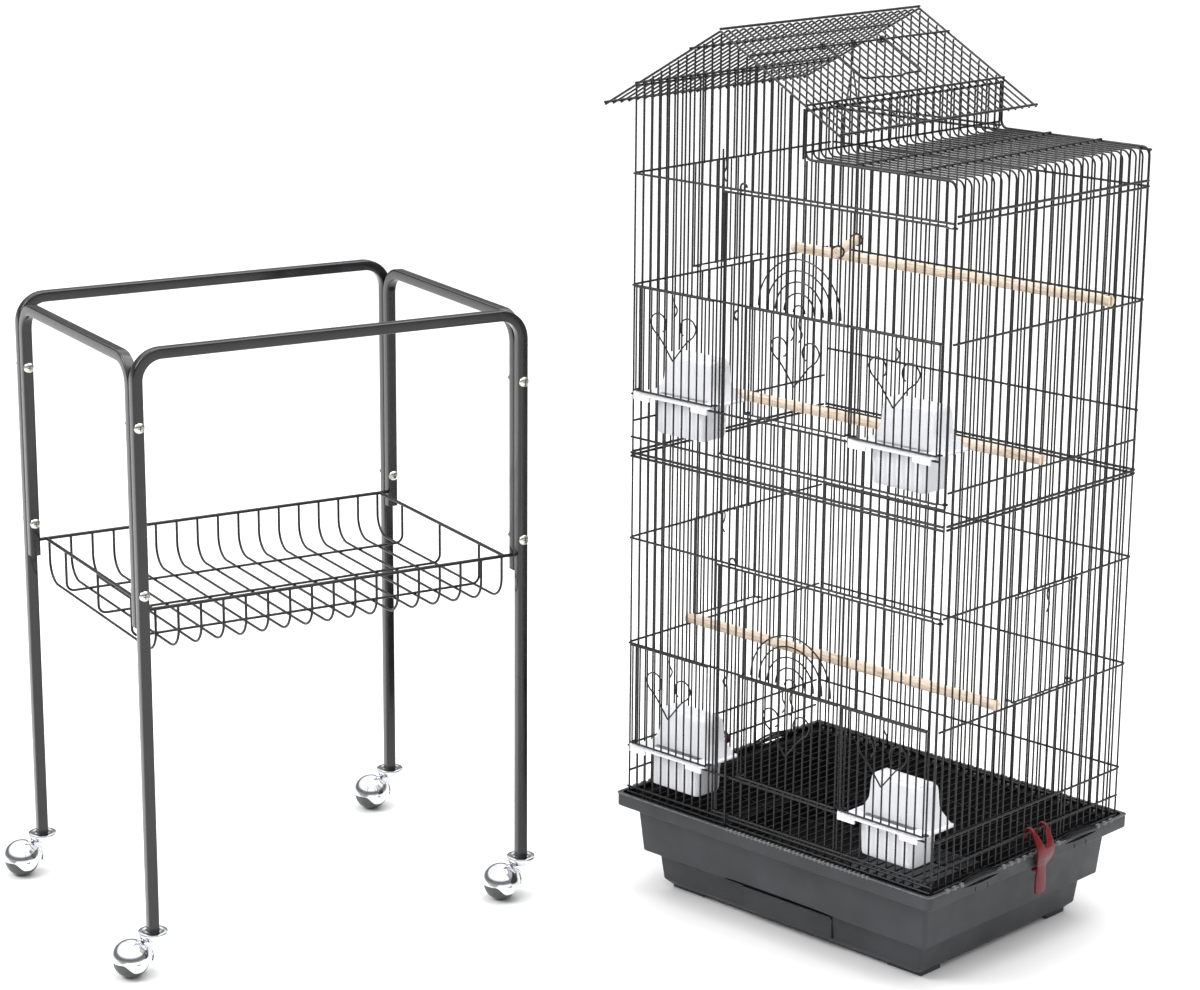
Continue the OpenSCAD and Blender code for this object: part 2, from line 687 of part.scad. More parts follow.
// An inverted U of bent tube in the XZ plane
module u_frame(half, foot, top)
    for (s = [-1, 1]) mirror([s < 0 ? 1 : 0, 0, 0]) {
        translate([half, 0, foot]) linear_extrude(height = top - tube / 2 - bend_r - foot) tube_section();
        translate([half - bend_r, 0, top - tube / 2 - bend_r]) rotate([90, 0, 0])
            rotate_extrude(angle = 90, $fn = 64) translate([bend_r, 0]) tube_section();
        translate([0, 0, top - tube / 2]) rotate([90, 0, 90])
            linear_extrude(height = half - bend_r) tube_section();
    }

module bolt_holes(half, y)
    for (s = [-1, 1], z = [426, 607])
        translate([s * half, y - 20, z]) rotate([-90, 0, 0]) cylinder(h = 40, d = 5.2, $fn = 24);

module leg_frame(s)
    translate([0, s * stand_w / 2, 0]) difference() {
        u_frame(stand_l / 2, leg_z, stand_z);
        bolt_holes(stand_l / 2, 0);
    }

module end_frame(s)
    difference() {
        translate([s * stand_l / 2, 0, 0]) rotate(90) u_frame(stand_w / 2 - tube, short_leg_z, end_z);
        for (t = [-1, 1]) bolt_holes(stand_l / 2, t * (stand_w / 2 - tube));
    }

module front_leg_frame() color("#17171a") at_stand() leg_frame(-1);

module back_leg_frame() color("#17171a") at_stand() leg_frame(1);

module left_end_frame() color("#17171a") at_stand() end_frame(-1);

module right_end_frame() color("#17171a") at_stand() end_frame(1);

// Bolts run front to back through both tubes; heads on the front side
module each_bolt()
    for (sx = [-1, 1], sy = [-1, 1], z = [426, 607])
        translate([sx * stand_l / 2, sy < 0 ? -stand_w / 2 - tube / 2 : stand_w / 2 - 1.5 * tube, z])
            rotate([-90, 0, 0]) children();

module frame_bolts() color("#c9c6bf") at_stand() each_bolt() {
    difference() {
        translate([0, 0, -0.2 - 3.8]) intersection() {
            cylinder(h = 3.9, r = 6, $fn = 48);
            translate([0, 0, 6.6]) sphere(r = 6.6, $fn = 48);
        }
        translate([0, 0, -5]) cylinder(h = 1.6, d = 4.4, $fn = 6);
    }
    translate([0, 0, -0.2]) cylinder(h = 2 * tube + 6.2, d = 5, $fn = 24);
}

module frame_nuts() color("#3a3a3d") at_stand() each_bolt()
    translate([0, 0, 2 * tube]) difference() {
        cylinder(h = 4.4, d = 9.6, $fn = 6);
        translate([0, 0, -1]) cylinder(h = 8, d = 5, $fn = 24);
    }

// ---------- basket ----------
basket_x = stand_l / 2 - tube / 2 - 9.3;
basket_y = stand_w / 2 - tube / 2 - 5.5;
cross_r = 30;
long_r = 9;

module quarter(r, d)
    rotate([90, 0, 0]) rotate_extrude(angle = 90, $fn = 48) translate([r, 0]) circle(d = d, $fn = 24);

module basket_rods() for (x = [-8 : 8]) translate([x * 26, 0, 0]) children();

module long_rods() for (y = [-97, 0, 97]) translate([0, y, 0]) children();

module basket_floor() color("#17171a") at_stand() {
    zb = basket_z - basket_h;
    basket_rods() ybar(0, -basket_y + cross_r, basket_y - cross_r, zb, 3);
    long_rods() xbar(-basket_x + long_r, basket_x - long_r, 0, zb + 2.6, 3);
}

module basket_long_sides() color("#17171a") at_stand()
    for (s = [-1, 1]) mirror([0, s < 0 ? 1 : 0, 0]) {
        xbar(-stand_l / 2 + tube / 2, stand_l / 2 - tube / 2, basket_y, basket_z, 4);
        basket_rods() {
            zbar(0, basket_y, basket_z - basket_h + cross_r, basket_z, 3);
            translate([0, basket_y - cross_r, basket_z - basket_h + cross_r]) rotate(90) mirror([0, 0, 1])
                quarter(cross_r, 3);
        }
    }

module basket_short_sides() color("#17171a") at_stand()
    for (s = [-1, 1]) mirror([s < 0 ? 1 : 0, 0, 0]) {
        ybar(basket_x, -basket_y + 1.8, basket_y - 1.8, basket_z, 4);
        long_rods() {
            zbar(basket_x, 0, basket_z - basket_h + 2.6 + long_r, basket_z + 1, 3);
            translate([basket_x - long_r, 0, basket_z - basket_h + 2.6 + long_r]) mirror([0, 0, 1])
                quarter(long_r, 3);
        }
    }

// ---------- casters ----------
function caster_sx(k) = k < 3 ? -1 : 1;
function caster_sy(k) = k == 1 || k == 3 ? -1 : 1;

module at_caster(k)
    at_stand() translate([caster_sx(k) * stand_l / 2, caster_sy(k) * stand_w / 2, 0]) children();

// Chrome collar under each leg, with the socket that goes up into the tube
module caster_mounts() color("#d8dadc")
    for (k = [1 : 4]) at_caster(k) difference() {
        union() {
            translate([0, 0, 39.4]) cylinder(h = 5.6, r1 = 13.4, r2 = 16.5, $fn = 48);
            translate([0, 0, 45]) cylinder(h = 3, r = 16.5, $fn = 48);
            translate([0, 0, 47]) cylinder(h = 31, d = 9.8, $fn = 48);
        }
        translate([0, 0, 30]) cylinder(h = 60, d = 6.6, $fn = 48);
    }

module hood()
    translate([-trail, 0, ball_r]) {
        difference() {
            intersection() {
                difference() {
                    sphere(r = ball_r + 2.6, $fn = 64);
                    sphere(r = ball_r + 0.9, $fn = 64);
                }
                union() {
                    translate([-30, -30, 1]) cube([60, 60, 40]);
                    rotate([90, 0, 0]) cylinder(h = 60, r = 9.5, center = true, $fn = 48);
                }
            }
            rotate([90, 0, 0]) cylinder(h = 60, d = 5.1, center = true, $fn = 32);
        }
        // axle
        rotate([90, 0, 0]) cylinder(h = 2 * ball_r + 6.4, d = 5.1, center = true, $fn = 32);
    }

module caster_hood() {
    hood();
    // neck between the collar and the hood
    difference() {
        translate([0, 9, 0]) rotate([90, 0, 0]) linear_extrude(height = 18)
            polygon([[-9, 38.6], [9, 38.6], [11, 36], [2.6, 27], [2.4, 21], [-1, 16], [-4.6, 16], [-4.6, 25],
                [-9, 33]]);
        translate([-trail, 0, ball_r]) sphere(r = ball_r + 1.2, $fn = 64);
    }
    // stem
    translate([0, 0, 36]) cylinder(h = 38, d = 6.4, $fn = 48);
}

module caster_ball()
    translate([-trail, 0, ball_r]) difference() {
        sphere(r = ball_r, $fn = 64);
        rotate([90, 0, 0]) cylinder(h = 60, d = 5.3, center = true, $fn = 32);
    }

module caster_hood_1() color("#d8dadc") at_caster(1) caster_hood();

module caster_hood_2() color("#d8dadc") at_caster(2) caster_hood();

module caster_hood_3() color("#d8dadc") at_caster(3) caster_hood();

module caster_hood_4() color("#d8dadc") at_caster(4) caster_hood();

module caster_ball_1() color("#4d5150") at_caster(1) caster_ball();

module caster_ball_2() color("#4d5150") at_caster(2) caster_ball();

module caster_ball_3() color("#4d5150") at_caster(3) caster_ball();

module caster_ball_4() color("#4d5150") at_caster(4) caster_ball();

// ---------- output ----------
translate([-origin_x, -origin_y, 0]) {
    front_leg_frame();
    back_leg_frame();
    left_end_frame();
    right_end_frame();
    basket_floor();
    basket_long_sides();
    basket_short_sides();
    frame_bolts();
    frame_nuts();
    caster_mounts();
    caster_hood_1();
    caster_hood_2();
    caster_hood_3();
    caster_hood_4();
    caster_ball_1();
    caster_ball_2();
    caster_ball_3();
    caster_ball_4();
    base_tray();
    tray_grate();
    floor_drawer();
    lower_front_panel();
    lower_back_panel();
    lower_left_panel();
    lower_right_panel();
    upper_front_panel();
    upper_back_panel();
    upper_left_panel();
    upper_right_panel();
    front_gable();
    back_gable();
    roof_left_slope();
    roof_right_slope();
    top_deck();
    step_wall();
    hinge_posts();
    perches();
    lower_main_door();
    upper_main_door();
    lower_latch_rod();
    upper_latch_rod();
    lower_mid_door();
    upper_mid_door();
    lower_left_feed_door();
    lower_right_feed_door();
    upper_left_feed_door();
    upper_right_feed_door();
    lower_left_cup();
    lower_right_cup();
    upper_left_cup();
    upper_right_cup();
    lower_left_nest_door();
    lower_right_nest_door();
    upper_left_nest_door();
    carry_handle();
    swing_wires();
    swing_perch();
    left_clip();
    right_clip();
}
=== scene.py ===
import bpy
import bmesh
import json
import math
from mathutils import Matrix, Vector


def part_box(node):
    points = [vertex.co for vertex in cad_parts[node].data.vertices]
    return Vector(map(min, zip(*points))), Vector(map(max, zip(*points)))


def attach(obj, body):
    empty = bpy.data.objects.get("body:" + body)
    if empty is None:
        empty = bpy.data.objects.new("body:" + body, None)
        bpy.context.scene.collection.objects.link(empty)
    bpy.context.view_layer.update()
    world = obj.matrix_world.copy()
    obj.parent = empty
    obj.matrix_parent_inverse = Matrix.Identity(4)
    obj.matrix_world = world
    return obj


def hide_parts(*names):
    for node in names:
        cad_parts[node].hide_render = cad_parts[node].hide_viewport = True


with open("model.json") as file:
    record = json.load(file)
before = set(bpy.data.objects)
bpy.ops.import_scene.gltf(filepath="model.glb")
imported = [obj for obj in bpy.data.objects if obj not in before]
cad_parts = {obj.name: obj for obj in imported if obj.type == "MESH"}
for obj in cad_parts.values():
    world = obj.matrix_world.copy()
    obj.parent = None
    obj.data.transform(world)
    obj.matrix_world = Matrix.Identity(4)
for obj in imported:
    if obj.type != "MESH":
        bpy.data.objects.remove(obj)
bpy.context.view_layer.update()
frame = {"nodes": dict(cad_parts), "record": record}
record = frame["record"]
BODY = {n: b for b, ns in record["behaviour"]["bodies"].items() for n in ns}

# ---------------------------------------------------------------- frame
# Lengths below are in millimetres about the middle of the cage, and row() puts them in the shared frame.
HL, HW = 220.0, 167.5  # half the cage's length and width, to the middles of the corner bars
lo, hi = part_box("hinge_posts")
OX = (lo.x + hi.x) * 500 - HL
OY = (lo.y + hi.y) * 500 + HW
lo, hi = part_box("caster_mounts")
SX, SY = (lo.x + hi.x) * 500 - OX, (lo.y + hi.y) * 500 - OY  # the middle of the stand
TURN = math.radians(74.3)  # the stand's turn against the cage
SL, SW = 226.5, 168.5  # half the stand's length and width, to the middles of the posts

BAR, CROSS, RING = 2.2, 2.6, 3.0  # wire diameters: bars, cross wires, rings at the ends of a tier
COLUMNS, ROWS = 36, 27  # gaps between bars along the front and along an end
DOOR_BAR, STEP_BAR = 11, 19  # first bar to the right of the big door's edge, last bar under the gable
# Heights in the upper tier: cross wires under, over and well over the small doors, flat top, ridge. The lower
# tier has the same doors and cross wires, TIER lower
TIER = 413.6
SILL, HEAD, LINTEL, DECK, RIDGE = 588.0, 711.0, 835.0, 876.0, 1003.0
DOOR_Z0, DOOR_Z1, DOOR_X0 = 543.0, 831.0, -88.0  # the big door's lower and upper wire and its free edge
LOW_RING, UP_RING = 516.6, 520.6  # the rings where the tiers meet
FOOT, RIM = 110.0, 118.0  # lower end of the lower tier's bars, top of the base tray's rim
CLIP_Z = 142.4  # the low end wire that the clips hook over
STEP_X = 22.0  # the wall between the roof and the flat top
RIDGE_X = (STEP_X - HL) / 2
PITCH = 0.56  # rise of the roof over its run
ROOF = math.atan(PITCH)
EAVE = 47.0  # how far the roof stands out past the walls
SLOPE = ((STEP_X + HL) / 2 + EAVE) / math.cos(ROOF)
RIDGE_WIRE, DECK_WIRE = RIDGE - 3.4, DECK + 1.2  # middles of the wires there
WALL_Z = RIDGE - PITCH * (STEP_X - RIDGE_X)
MID_X, MID_W = 20.0, 140.0  # the middle sliding door
FEED_W, NEST_W, SMALL_H = 113.5, 108.0, 119.0  # the feeder and nest doors, and the height of all small doors
HAND_X = -57.0  # the roof wire that carries the handle and the swing


def row(p):
    """From the cage's millimetres to the shared frame's metres."""
    return Vector(((p[0] + OX) / 1000, (p[1] + OY) / 1000, p[2] / 1000))


def bx(i):
    """Bar i of the front and back, from the left."""
    return -HL + i * 2 * HL / COLUMNS


def by(j):
    """Bar j of an end, from the front."""
    return -HW + j * 2 * HW / ROWS


FEED_L = bx(DOOR_BAR - 1) - FEED_W / 2
FEED_R = HL - 9 - FEED_W / 2


def weld(d, e=BAR):
    """How far apart the middles of two crossing wires are."""
    return (d + e) / 2 - 0.3


def on_stand(p):
    """From the stand's own axes, about its middle, to the cage's."""
    c, s = math.cos(TURN), math.sin(TURN)
    return (SX + p[0] * c - p[1] * s, SY + p[0] * s + p[1] * c, p[2])


def on_slope(side):
    """Places (down the slope, along the ridge, off the roof)."""
    c, s = math.cos(ROOF), math.sin(ROOF)
    return lambda p: (RIDGE_X + side * (p[0] * c + p[2] * s), p[1], RIDGE_WIRE - p[0] * s + p[2] * c)


# ---------------------------------------------------------------- shapes
def fillet(pts, radius, seg=5):
    """The line with each inner corner rounded to that radius."""
    pts = [Vector(p) for p in pts]
    out = [pts[0]]
    for i in range(1, len(pts) - 1):
        p, a, b = pts[i], pts[i - 1] - pts[i], pts[i + 1] - pts[i]
        la, lb = a.length, b.length
        a, b = a.normalized(), b.normalized()
        ang = a.angle(b)
        if ang > math.pi - 0.02:
            out.append(p)
            continue
        r = radius[i - 1] if isinstance(radius, (list, tuple)) else radius
        t = min(r / math.tan(ang / 2), la * 0.48, lb * 0.48)
        r = t * math.tan(ang / 2)
        mid = p + (a + b).normalized() * (r / math.sin(ang / 2))
        u, v = p + a * t - mid, p + b * t - mid
        whole = u.angle(v)
        for k in range(seg + 1):
            f = k / seg
            out.append(mid + (u * math.sin((1 - f) * whole) + v * math.sin(f * whole)) / math.sin(whole))
    out.append(pts[-1])
    return out


def spline(pts, seg=5):
    """A smooth line through the points."""
    pts = [Vector(p) for p in pts]
    out = []
    for i in range(len(pts) - 1):
        p0, p1, p2, p3 = pts[max(i - 1, 0)], pts[i], pts[i + 1], pts[min(i + 2, len(pts) - 1)]
        for k in range(seg):
            t = k / seg
            out.append(0.5 * (2 * p1 + (p2 - p0) * t + (2 * p0 - 5 * p1 + 4 * p2 - p3) * t * t
                              + (3 * p1 - p0 - 3 * p2 + p3) * t ** 3))
    out.append(pts[-1])
    return out


def rounded(hx, hy, r, n=5, cx=0.0, cy=0.0):
    """A rounded rectangle as a ring of points, anticlockwise."""
    r = max(min(r, hx - 0.01, hy - 0.01), 0.01)
    out = []
    for q, (sx, sy) in enumerate(((1, 1), (-1, 1), (-1, -1), (1, -1))):
        for k in range(n + 1):
            a = math.pi / 2 * (q + k / n)
            out.append((cx + sx * (hx - r) + r * math.cos(a), cy + sy * (hy - r) + r * math.sin(a)))
    return out


class Shape:
    def __init__(self, at=None):
        self.v, self.f, self.m = [], [], []
        self.mat = 0
        self.at = at or (lambda p: p)

    def put(self, pts):
        k = len(self.v)
        self.v += [tuple(self.at(p)) for p in pts]
        return list(range(k, len(self.v)))

    def face(self, idx):
        self.f.append(list(idx))
        self.m.append(self.mat)

    def join(self, a, b):
        n = len(a)
        for i in range(n):
            self.face((a[i], a[(i + 1) % n], b[(i + 1) % n], b[i]))

    def loft(self, rings, cap=(True, True), loop=False):
        r = [self.put(x) for x in rings]
        for a, b in zip(r, r[1:]):
            self.join(a, b)
        if loop:
            self.join(r[-1], r[0])
        else:
            if cap[0]:
                self.face(r[0][::-1])
            if cap[1]:
                self.face(r[-1])
        return r

    def sweep(self, pts, profile, closed=False, radii=None, up=None):
        pts = [Vector(p) for p in pts]
        k = len(pts)
        T = []
        for i in range(k):
            a = pts[i - 1] if closed or i else pts[0]
            b = pts[(i + 1) % k] if closed or i < k - 1 else pts[-1]
            T.append((b - a).normalized())
        up = Vector(up) if up else (Vector((0, 0, 1)) if abs(T[0].z) < 0.9 else Vector((1, 0, 0)))
        u = T[0].cross(up).normalized()
        rings = []
        for i in range(k):
            if i:
                u = T[i - 1].rotation_difference(T[i]) @ u
                u = (u - T[i] * u.dot(T[i])).normalized()
            w = T[i].cross(u)
            s = radii[i] if radii else 1.0
            rings.append([pts[i] + u * (s * a) + w * (s * b) for a, b in profile])
        return self.loft(rings, cap=(not closed, not closed), loop=closed)

    def wire(self, pts, d, n=10, closed=False):
        """A round wire; its cut ends are broken."""
        r = d / 2
        circle = [(r * math.cos(2 * math.pi * k / n), r * math.sin(2 * math.pi * k / n)) for k in range(n)]
        if closed:
            return self.sweep(pts, circle, closed=True)
        pts = [Vector(p) for p in pts]
        a, b = (pts[1] - pts[0]).normalized(), (pts[-2] - pts[-1]).normalized()
        line = [pts[0], pts[0] + a * (0.35 * r)] + pts[1:-1] + [pts[-1] + b * (0.35 * r), pts[-1]]
        return self.sweep(line, circle, radii=[0.68] + [1.0] * (len(line) - 2) + [0.68])

    def zbar(self, x, y, z0, z1, d=BAR):
        self.wire([(x, y, z0), (x, y, z1)], d)

    def xbar(self, x0, x1, y, z, d=CROSS):
        self.wire([(x0, y, z), (x1, y, z)], d)

    def ybar(self, x, y0, y1, z, d=CROSS):
        self.wire([(x, y0, z), (x, y1, z)], d)

    def ring(self, centre, axis, radius, d, n=24):
        c = Vector(centre)
        axis = Vector(axis)
        u = axis.orthogonal().normalized()
        w = axis.cross(u).normalized()
        self.wire([c + (u * math.cos(2 * math.pi * k / n) + w * math.sin(2 * math.pi * k / n)) * radius
                   for k in range(n)], d, n=8, closed=True)

    def lathe(self, prof, n=48, axis="z", centre=(0, 0, 0)):
        rings = []
        for r, h in prof:
            pts = []
            for k in range(n):
                a = 2 * math.pi * k / n
                c, s = r * math.cos(a), r * math.sin(a)
                q = (c, s, h) if axis == "z" else (s, h, c) if axis == "y" else (h, c, s)
                pts.append((q[0] + centre[0], q[1] + centre[1], q[2] + centre[2]))
            rings.append(pts)
        return self.loft(rings)

    def block(self, x0, x1, y0, y1, z0, z1, r=0.6):
        """A box with rounded edges."""
        cx, cy, hx, hy = (x0 + x1) / 2, (y0 + y1) / 2, (x1 - x0) / 2, (y1 - y0) / 2
        r = min(r, (z1 - z0) / 2.1, hx / 1.05, hy / 1.05)
        rings = []
        for k in range(4):
            a = math.pi / 2 * k / 3
            i, z = r * (1 - math.sin(a)), z0 + r * (1 - math.cos(a))
            rings.append([(p[0], p[1], z) for p in rounded(hx - i, hy - i, max(r - i, 0.05), 3, cx, cy)])
        for k in range(3, -1, -1):
            a = math.pi / 2 * k / 3
            i, z = r * (1 - math.sin(a)), z1 - r * (1 - math.cos(a))
            rings.append([(p[0], p[1], z) for p in rounded(hx - i, hy - i, max(r - i, 0.05), 3, cx, cy)])
        self.loft(rings)

    def mesh(self, name):
        me = bpy.data.meshes.new(name)
        me.from_pydata([row(p) for p in self.v], [], self.f)
        me.polygons.foreach_set("material_index", self.m)
        bm = bmesh.new()
        bm.from_mesh(me)
        bmesh.ops.recalc_face_normals(bm, faces=bm.faces)
        bm.to_mesh(me)
        bm.free()
        return me


def use_slots(me, mats):
    """Fills the mesh's material slots and keeps which face uses which."""
    for i, m in enumerate(mats):
        if i < len(me.materials):
            me.materials[i] = m
        else:
            me.materials.append(m)


def finish_piece(o, nodes, mats, angle=38):
    me = o.data
    use_slots(me, mats)
    me.polygons.foreach_set("use_smooth", [True] * len(me.polygons))
    me.set_sharp_from_angle(angle=math.radians(angle))
    me.update()
    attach(o, BODY[nodes[0]])
    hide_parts(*nodes)
    return o


def piece(shape, name, nodes, mats, angle=38):
    nodes = [nodes] if isinstance(nodes, str) else nodes
    o = bpy.data.objects.new(name, shape.mesh(name))
    bpy.context.scene.collection.objects.link(o)
    return finish_piece(o, nodes, mats, angle)


def loose(shape, name, mats=()):
    o = bpy.data.objects.new(name, shape.mesh(name))
    use_slots(o.data, mats)
    bpy.context.scene.collection.objects.link(o)
    return o


def applied(o):
    """o with its modifiers made part of its mesh."""
    dg = bpy.context.evaluated_depsgraph_get()
    me = bpy.data.meshes.new_from_object(o.evaluated_get(dg))
    o.modifiers.clear()
    o.data = me
    return o


def cut(o, others, operation="DIFFERENCE"):
    for c in others:
        m = o.modifiers.new("cut", "BOOLEAN")
        m.operation, m.solver, m.object = operation, "EXACT", c
    applied(o)
    for c in others:
        bpy.data.objects.remove(c)
    return o


def softened(node, name, mats, width=0.5, seg=2, angle=38):
    """A CAD node's own shape with its edges rounded."""
    me = frame["nodes"][node].data.copy()
    bm = bmesh.new()
    bm.from_mesh(me)
    bmesh.ops.remove_doubles(bm, verts=bm.verts, dist=1e-6)
    bmesh.ops.dissolve_limit(bm, angle_limit=math.radians(1.5), verts=bm.verts, edges=bm.edges)
    bm.to_mesh(me)
    bm.free()
    o = bpy.data.objects.new(name, me)
    bpy.context.scene.collection.objects.link(o)
    m = o.modifiers.new("edge", "BEVEL")
    m.width, m.segments, m.limit_method, m.angle_limit = width / 1000, seg, "ANGLE", math.radians(28)
    applied(o)
    return finish_piece(o, [node], mats, angle)


# ---------------------------------------------------------------- materials
def shader(name):
    """A new node material: its tree, its shader and its texture coordinates."""
    m = bpy.data.materials.new(name)
    m.use_nodes = True
    nt = m.node_tree
    nt.nodes.clear()
    out = nt.nodes.new("ShaderNodeOutputMaterial")
    bs = nt.nodes.new("ShaderNodeBsdfPrincipled")
    nt.links.new(bs.outputs[0], out.inputs[0])
    return m, nt, bs, nt.nodes.new("ShaderNodeTexCoord")


def ramp(nt, t, stops):
    """A colour ramp on the noise t."""
    r = nt.nodes.new("ShaderNodeValToRGB")
    e = r.color_ramp.elements
    while len(e) < len(stops):
        e.new(0.5)
    for k, (p, c) in enumerate(stops):
        e[k].position = p
        e[k].color = (*c, 1)
    nt.links.new(t.outputs["Fac"], r.inputs["Fac"])
    return r


def bumped(nt, bs, t, strength, distance):
    b = nt.nodes.new("ShaderNodeBump")
    b.inputs["Strength"].default_value = strength
    b.inputs["Distance"].default_value = distance
    nt.links.new(t.outputs["Fac"], b.inputs["Height"])
    nt.links.new(b.outputs["Normal"], bs.inputs["Normal"])


def material(name, base, rough, metal=0.0, coat=0.0, vary=0.12, scale=60.0, grain=900.0, bump=0.08,
             depth=0.0002, rough_vary=0.06, tint=None, subsurface=0.0, specular=None):
    """Painted, moulded or plated: vary and scale set patches of colour, grain, bump and depth the surface."""
    m, nt, bs, co = shader(name)
    bs.inputs["Metallic"].default_value = metal
    bs.inputs["Coat Weight"].default_value = coat
    bs.inputs["Coat Roughness"].default_value = 0.12
    if subsurface:
        bs.inputs["Subsurface Weight"].default_value = subsurface
        bs.inputs["Subsurface Radius"].default_value = (0.004, 0.004, 0.004)
        bs.inputs["Subsurface Scale"].default_value = 0.5
    if specular is not None:
        bs.inputs["Specular IOR Level"].default_value = specular

    def noise(s, detail=3.0):
        t = nt.nodes.new("ShaderNodeTexNoise")
        t.inputs["Scale"].default_value = s
        t.inputs["Detail"].default_value = detail
        nt.links.new(co.outputs["Object"], t.inputs["Vector"])
        return t

    dark = tuple(c * (1 - vary) for c in base)
    light = tuple(min(1.0, c * (1 + vary)) for c in (tint or base))
    r = ramp(nt, noise(scale), [(0.35, dark), (0.65, light)])
    nt.links.new(r.outputs["Color"], bs.inputs["Base Color"])
    mr = nt.nodes.new("ShaderNodeMapRange")
    mr.inputs["From Min"].default_value = 0.3
    mr.inputs["From Max"].default_value = 0.7
    mr.inputs["To Min"].default_value = max(0.02, rough - rough_vary)
    mr.inputs["To Max"].default_value = rough + rough_vary
    nt.links.new(noise(scale * 3).outputs["Fac"], mr.inputs["Value"])
    nt.links.new(mr.outputs["Result"], bs.inputs["Roughness"])
    bumped(nt, bs, noise(grain, 2.0), bump, depth)
    return m


def wood(name, turn=0.0):
    """Beech, its grain along X after the turn."""
    m, nt, bs, co = shader(name)
    ro = nt.nodes.new("ShaderNodeMapping")
    ro.inputs["Rotation"].default_value = (0, 0, -turn)
    nt.links.new(co.outputs["Object"], ro.inputs["Vector"])

    def layer(scale, noise_scale, detail, stops):
        mp = nt.nodes.new("ShaderNodeMapping")
        mp.inputs["Scale"].default_value = scale
        t = nt.nodes.new("ShaderNodeTexNoise")
        t.inputs["Scale"].default_value = noise_scale
        t.inputs["Detail"].default_value = detail
        nt.links.new(ro.outputs["Vector"], mp.inputs["Vector"])
        nt.links.new(mp.outputs["Vector"], t.inputs["Vector"])
        return t, ramp(nt, t, stops)

    _, rings = layer((4, 60, 60), 8.0, 4.0, [(0.30, (0.50, 0.37, 0.26)), (0.48, (0.70, 0.57, 0.45)),
                                             (0.70, (0.81, 0.69, 0.57))])
    fibres, flecks = layer((40, 500, 500), 3.0, 2.0, [(0.60, (1, 1, 1)), (0.72, (0.66, 0.56, 0.47))])
    mx = nt.nodes.new("ShaderNodeMix")
    mx.data_type, mx.blend_type = "RGBA", "MULTIPLY"
    mx.inputs["Factor"].default_value = 0.8
    nt.links.new(rings.outputs["Color"], mx.inputs["A"])
    nt.links.new(flecks.outputs["Color"], mx.inputs["B"])
    nt.links.new(mx.outputs["Result"], bs.inputs["Base Color"])
    bs.inputs["Roughness"].default_value = 0.6
    bumped(nt, bs, fibres, 0.25, 0.0003)
    return m


BLACK = material("black_wire_enamel", (0.009, 0.009, 0.010), 0.30, coat=0.1, vary=0.25, scale=90, grain=700,
                 bump=0.10, specular=0.28)
TUBE = material("black_tube_enamel", (0.010, 0.010, 0.011), 0.22, coat=0.35, vary=0.2, scale=25, grain=1100,
                bump=0.14, depth=0.00015, specular=0.36)
BASKET = material("basket_enamel", (0.012, 0.012, 0.013), 0.38, coat=0.05, vary=0.25, scale=80, grain=800,
                  bump=0.1, specular=0.3)
GRATE = material("grate_enamel", (0.006, 0.006, 0.006), 0.40, vary=0.25, scale=90, grain=700, bump=0.10,
                 specular=0.12)
NICKEL = material("bolt_nickel", (0.62, 0.60, 0.56), 0.22, metal=1.0, vary=0.08, scale=300, grain=2500,
                  bump=0.12)
# dark metal of the nuts; also the bolt heads' cross, painted shade of their recess
DARK_METAL_AND_SHADE = material("nut_dark", (0.06, 0.06, 0.065), 0.35, metal=0.8, vary=0.2, scale=200, grain=2000, bump=0.2)
CHROME = material("chrome", (0.74, 0.75, 0.78), 0.09, metal=1.0, vary=0.03, scale=120, grain=400, bump=0.03,
                  rough_vary=0.04)
BALL = material("ball_plastic", (0.055, 0.060, 0.058), 0.36, vary=0.12, scale=120, grain=1800, bump=0.12)
SHELL = material("tray_plastic", (0.036, 0.037, 0.040), 0.50, vary=0.10, scale=14, grain=1500, bump=0.30,
                 depth=0.00025, tint=(0.040, 0.041, 0.046), specular=0.30)
# painted shade: the tray plastic made much darker for the inside, the cut walls and the lips, where shade
# falls under the rim and grate
SHADED_INSIDE = material("tray_inside_painted_shade", (0.006, 0.006, 0.007), 0.50, vary=0.15, scale=25, grain=1500, bump=0.25,
                  specular=0.14)
# painted highlight: a light grey for the rim's edge bead and teeth, standing in for their shine
PAINTED_HIGHLIGHT = material("tray_painted_highlight", (0.10, 0.102, 0.105), 0.34, coat=0.1, vary=0.35, scale=260, grain=1500,
                 bump=0.1)
WHITE = material("white_plastic", (0.80, 0.80, 0.835), 0.34, vary=0.02, scale=40, grain=700, bump=0.05,
                 subsurface=0.25)
RED = material("red_plastic", (0.115, 0.006, 0.010), 0.32, vary=0.2, scale=60, grain=900, bump=0.06,
               coat=0.08, specular=0.25)
BEECH = wood("beech")
SWING_WOOD = wood("beech_swing", math.radians(25 - 90))


# ---------------------------------------------------------------- cage panels
def front_cross(s, x0, x1, z, d=CROSS):
    s.xbar(x0, x1, -HW - weld(d), z, d)


def roof_under(x):
    return RIDGE - 4.6 - PITCH * abs(x - RIDGE_X)


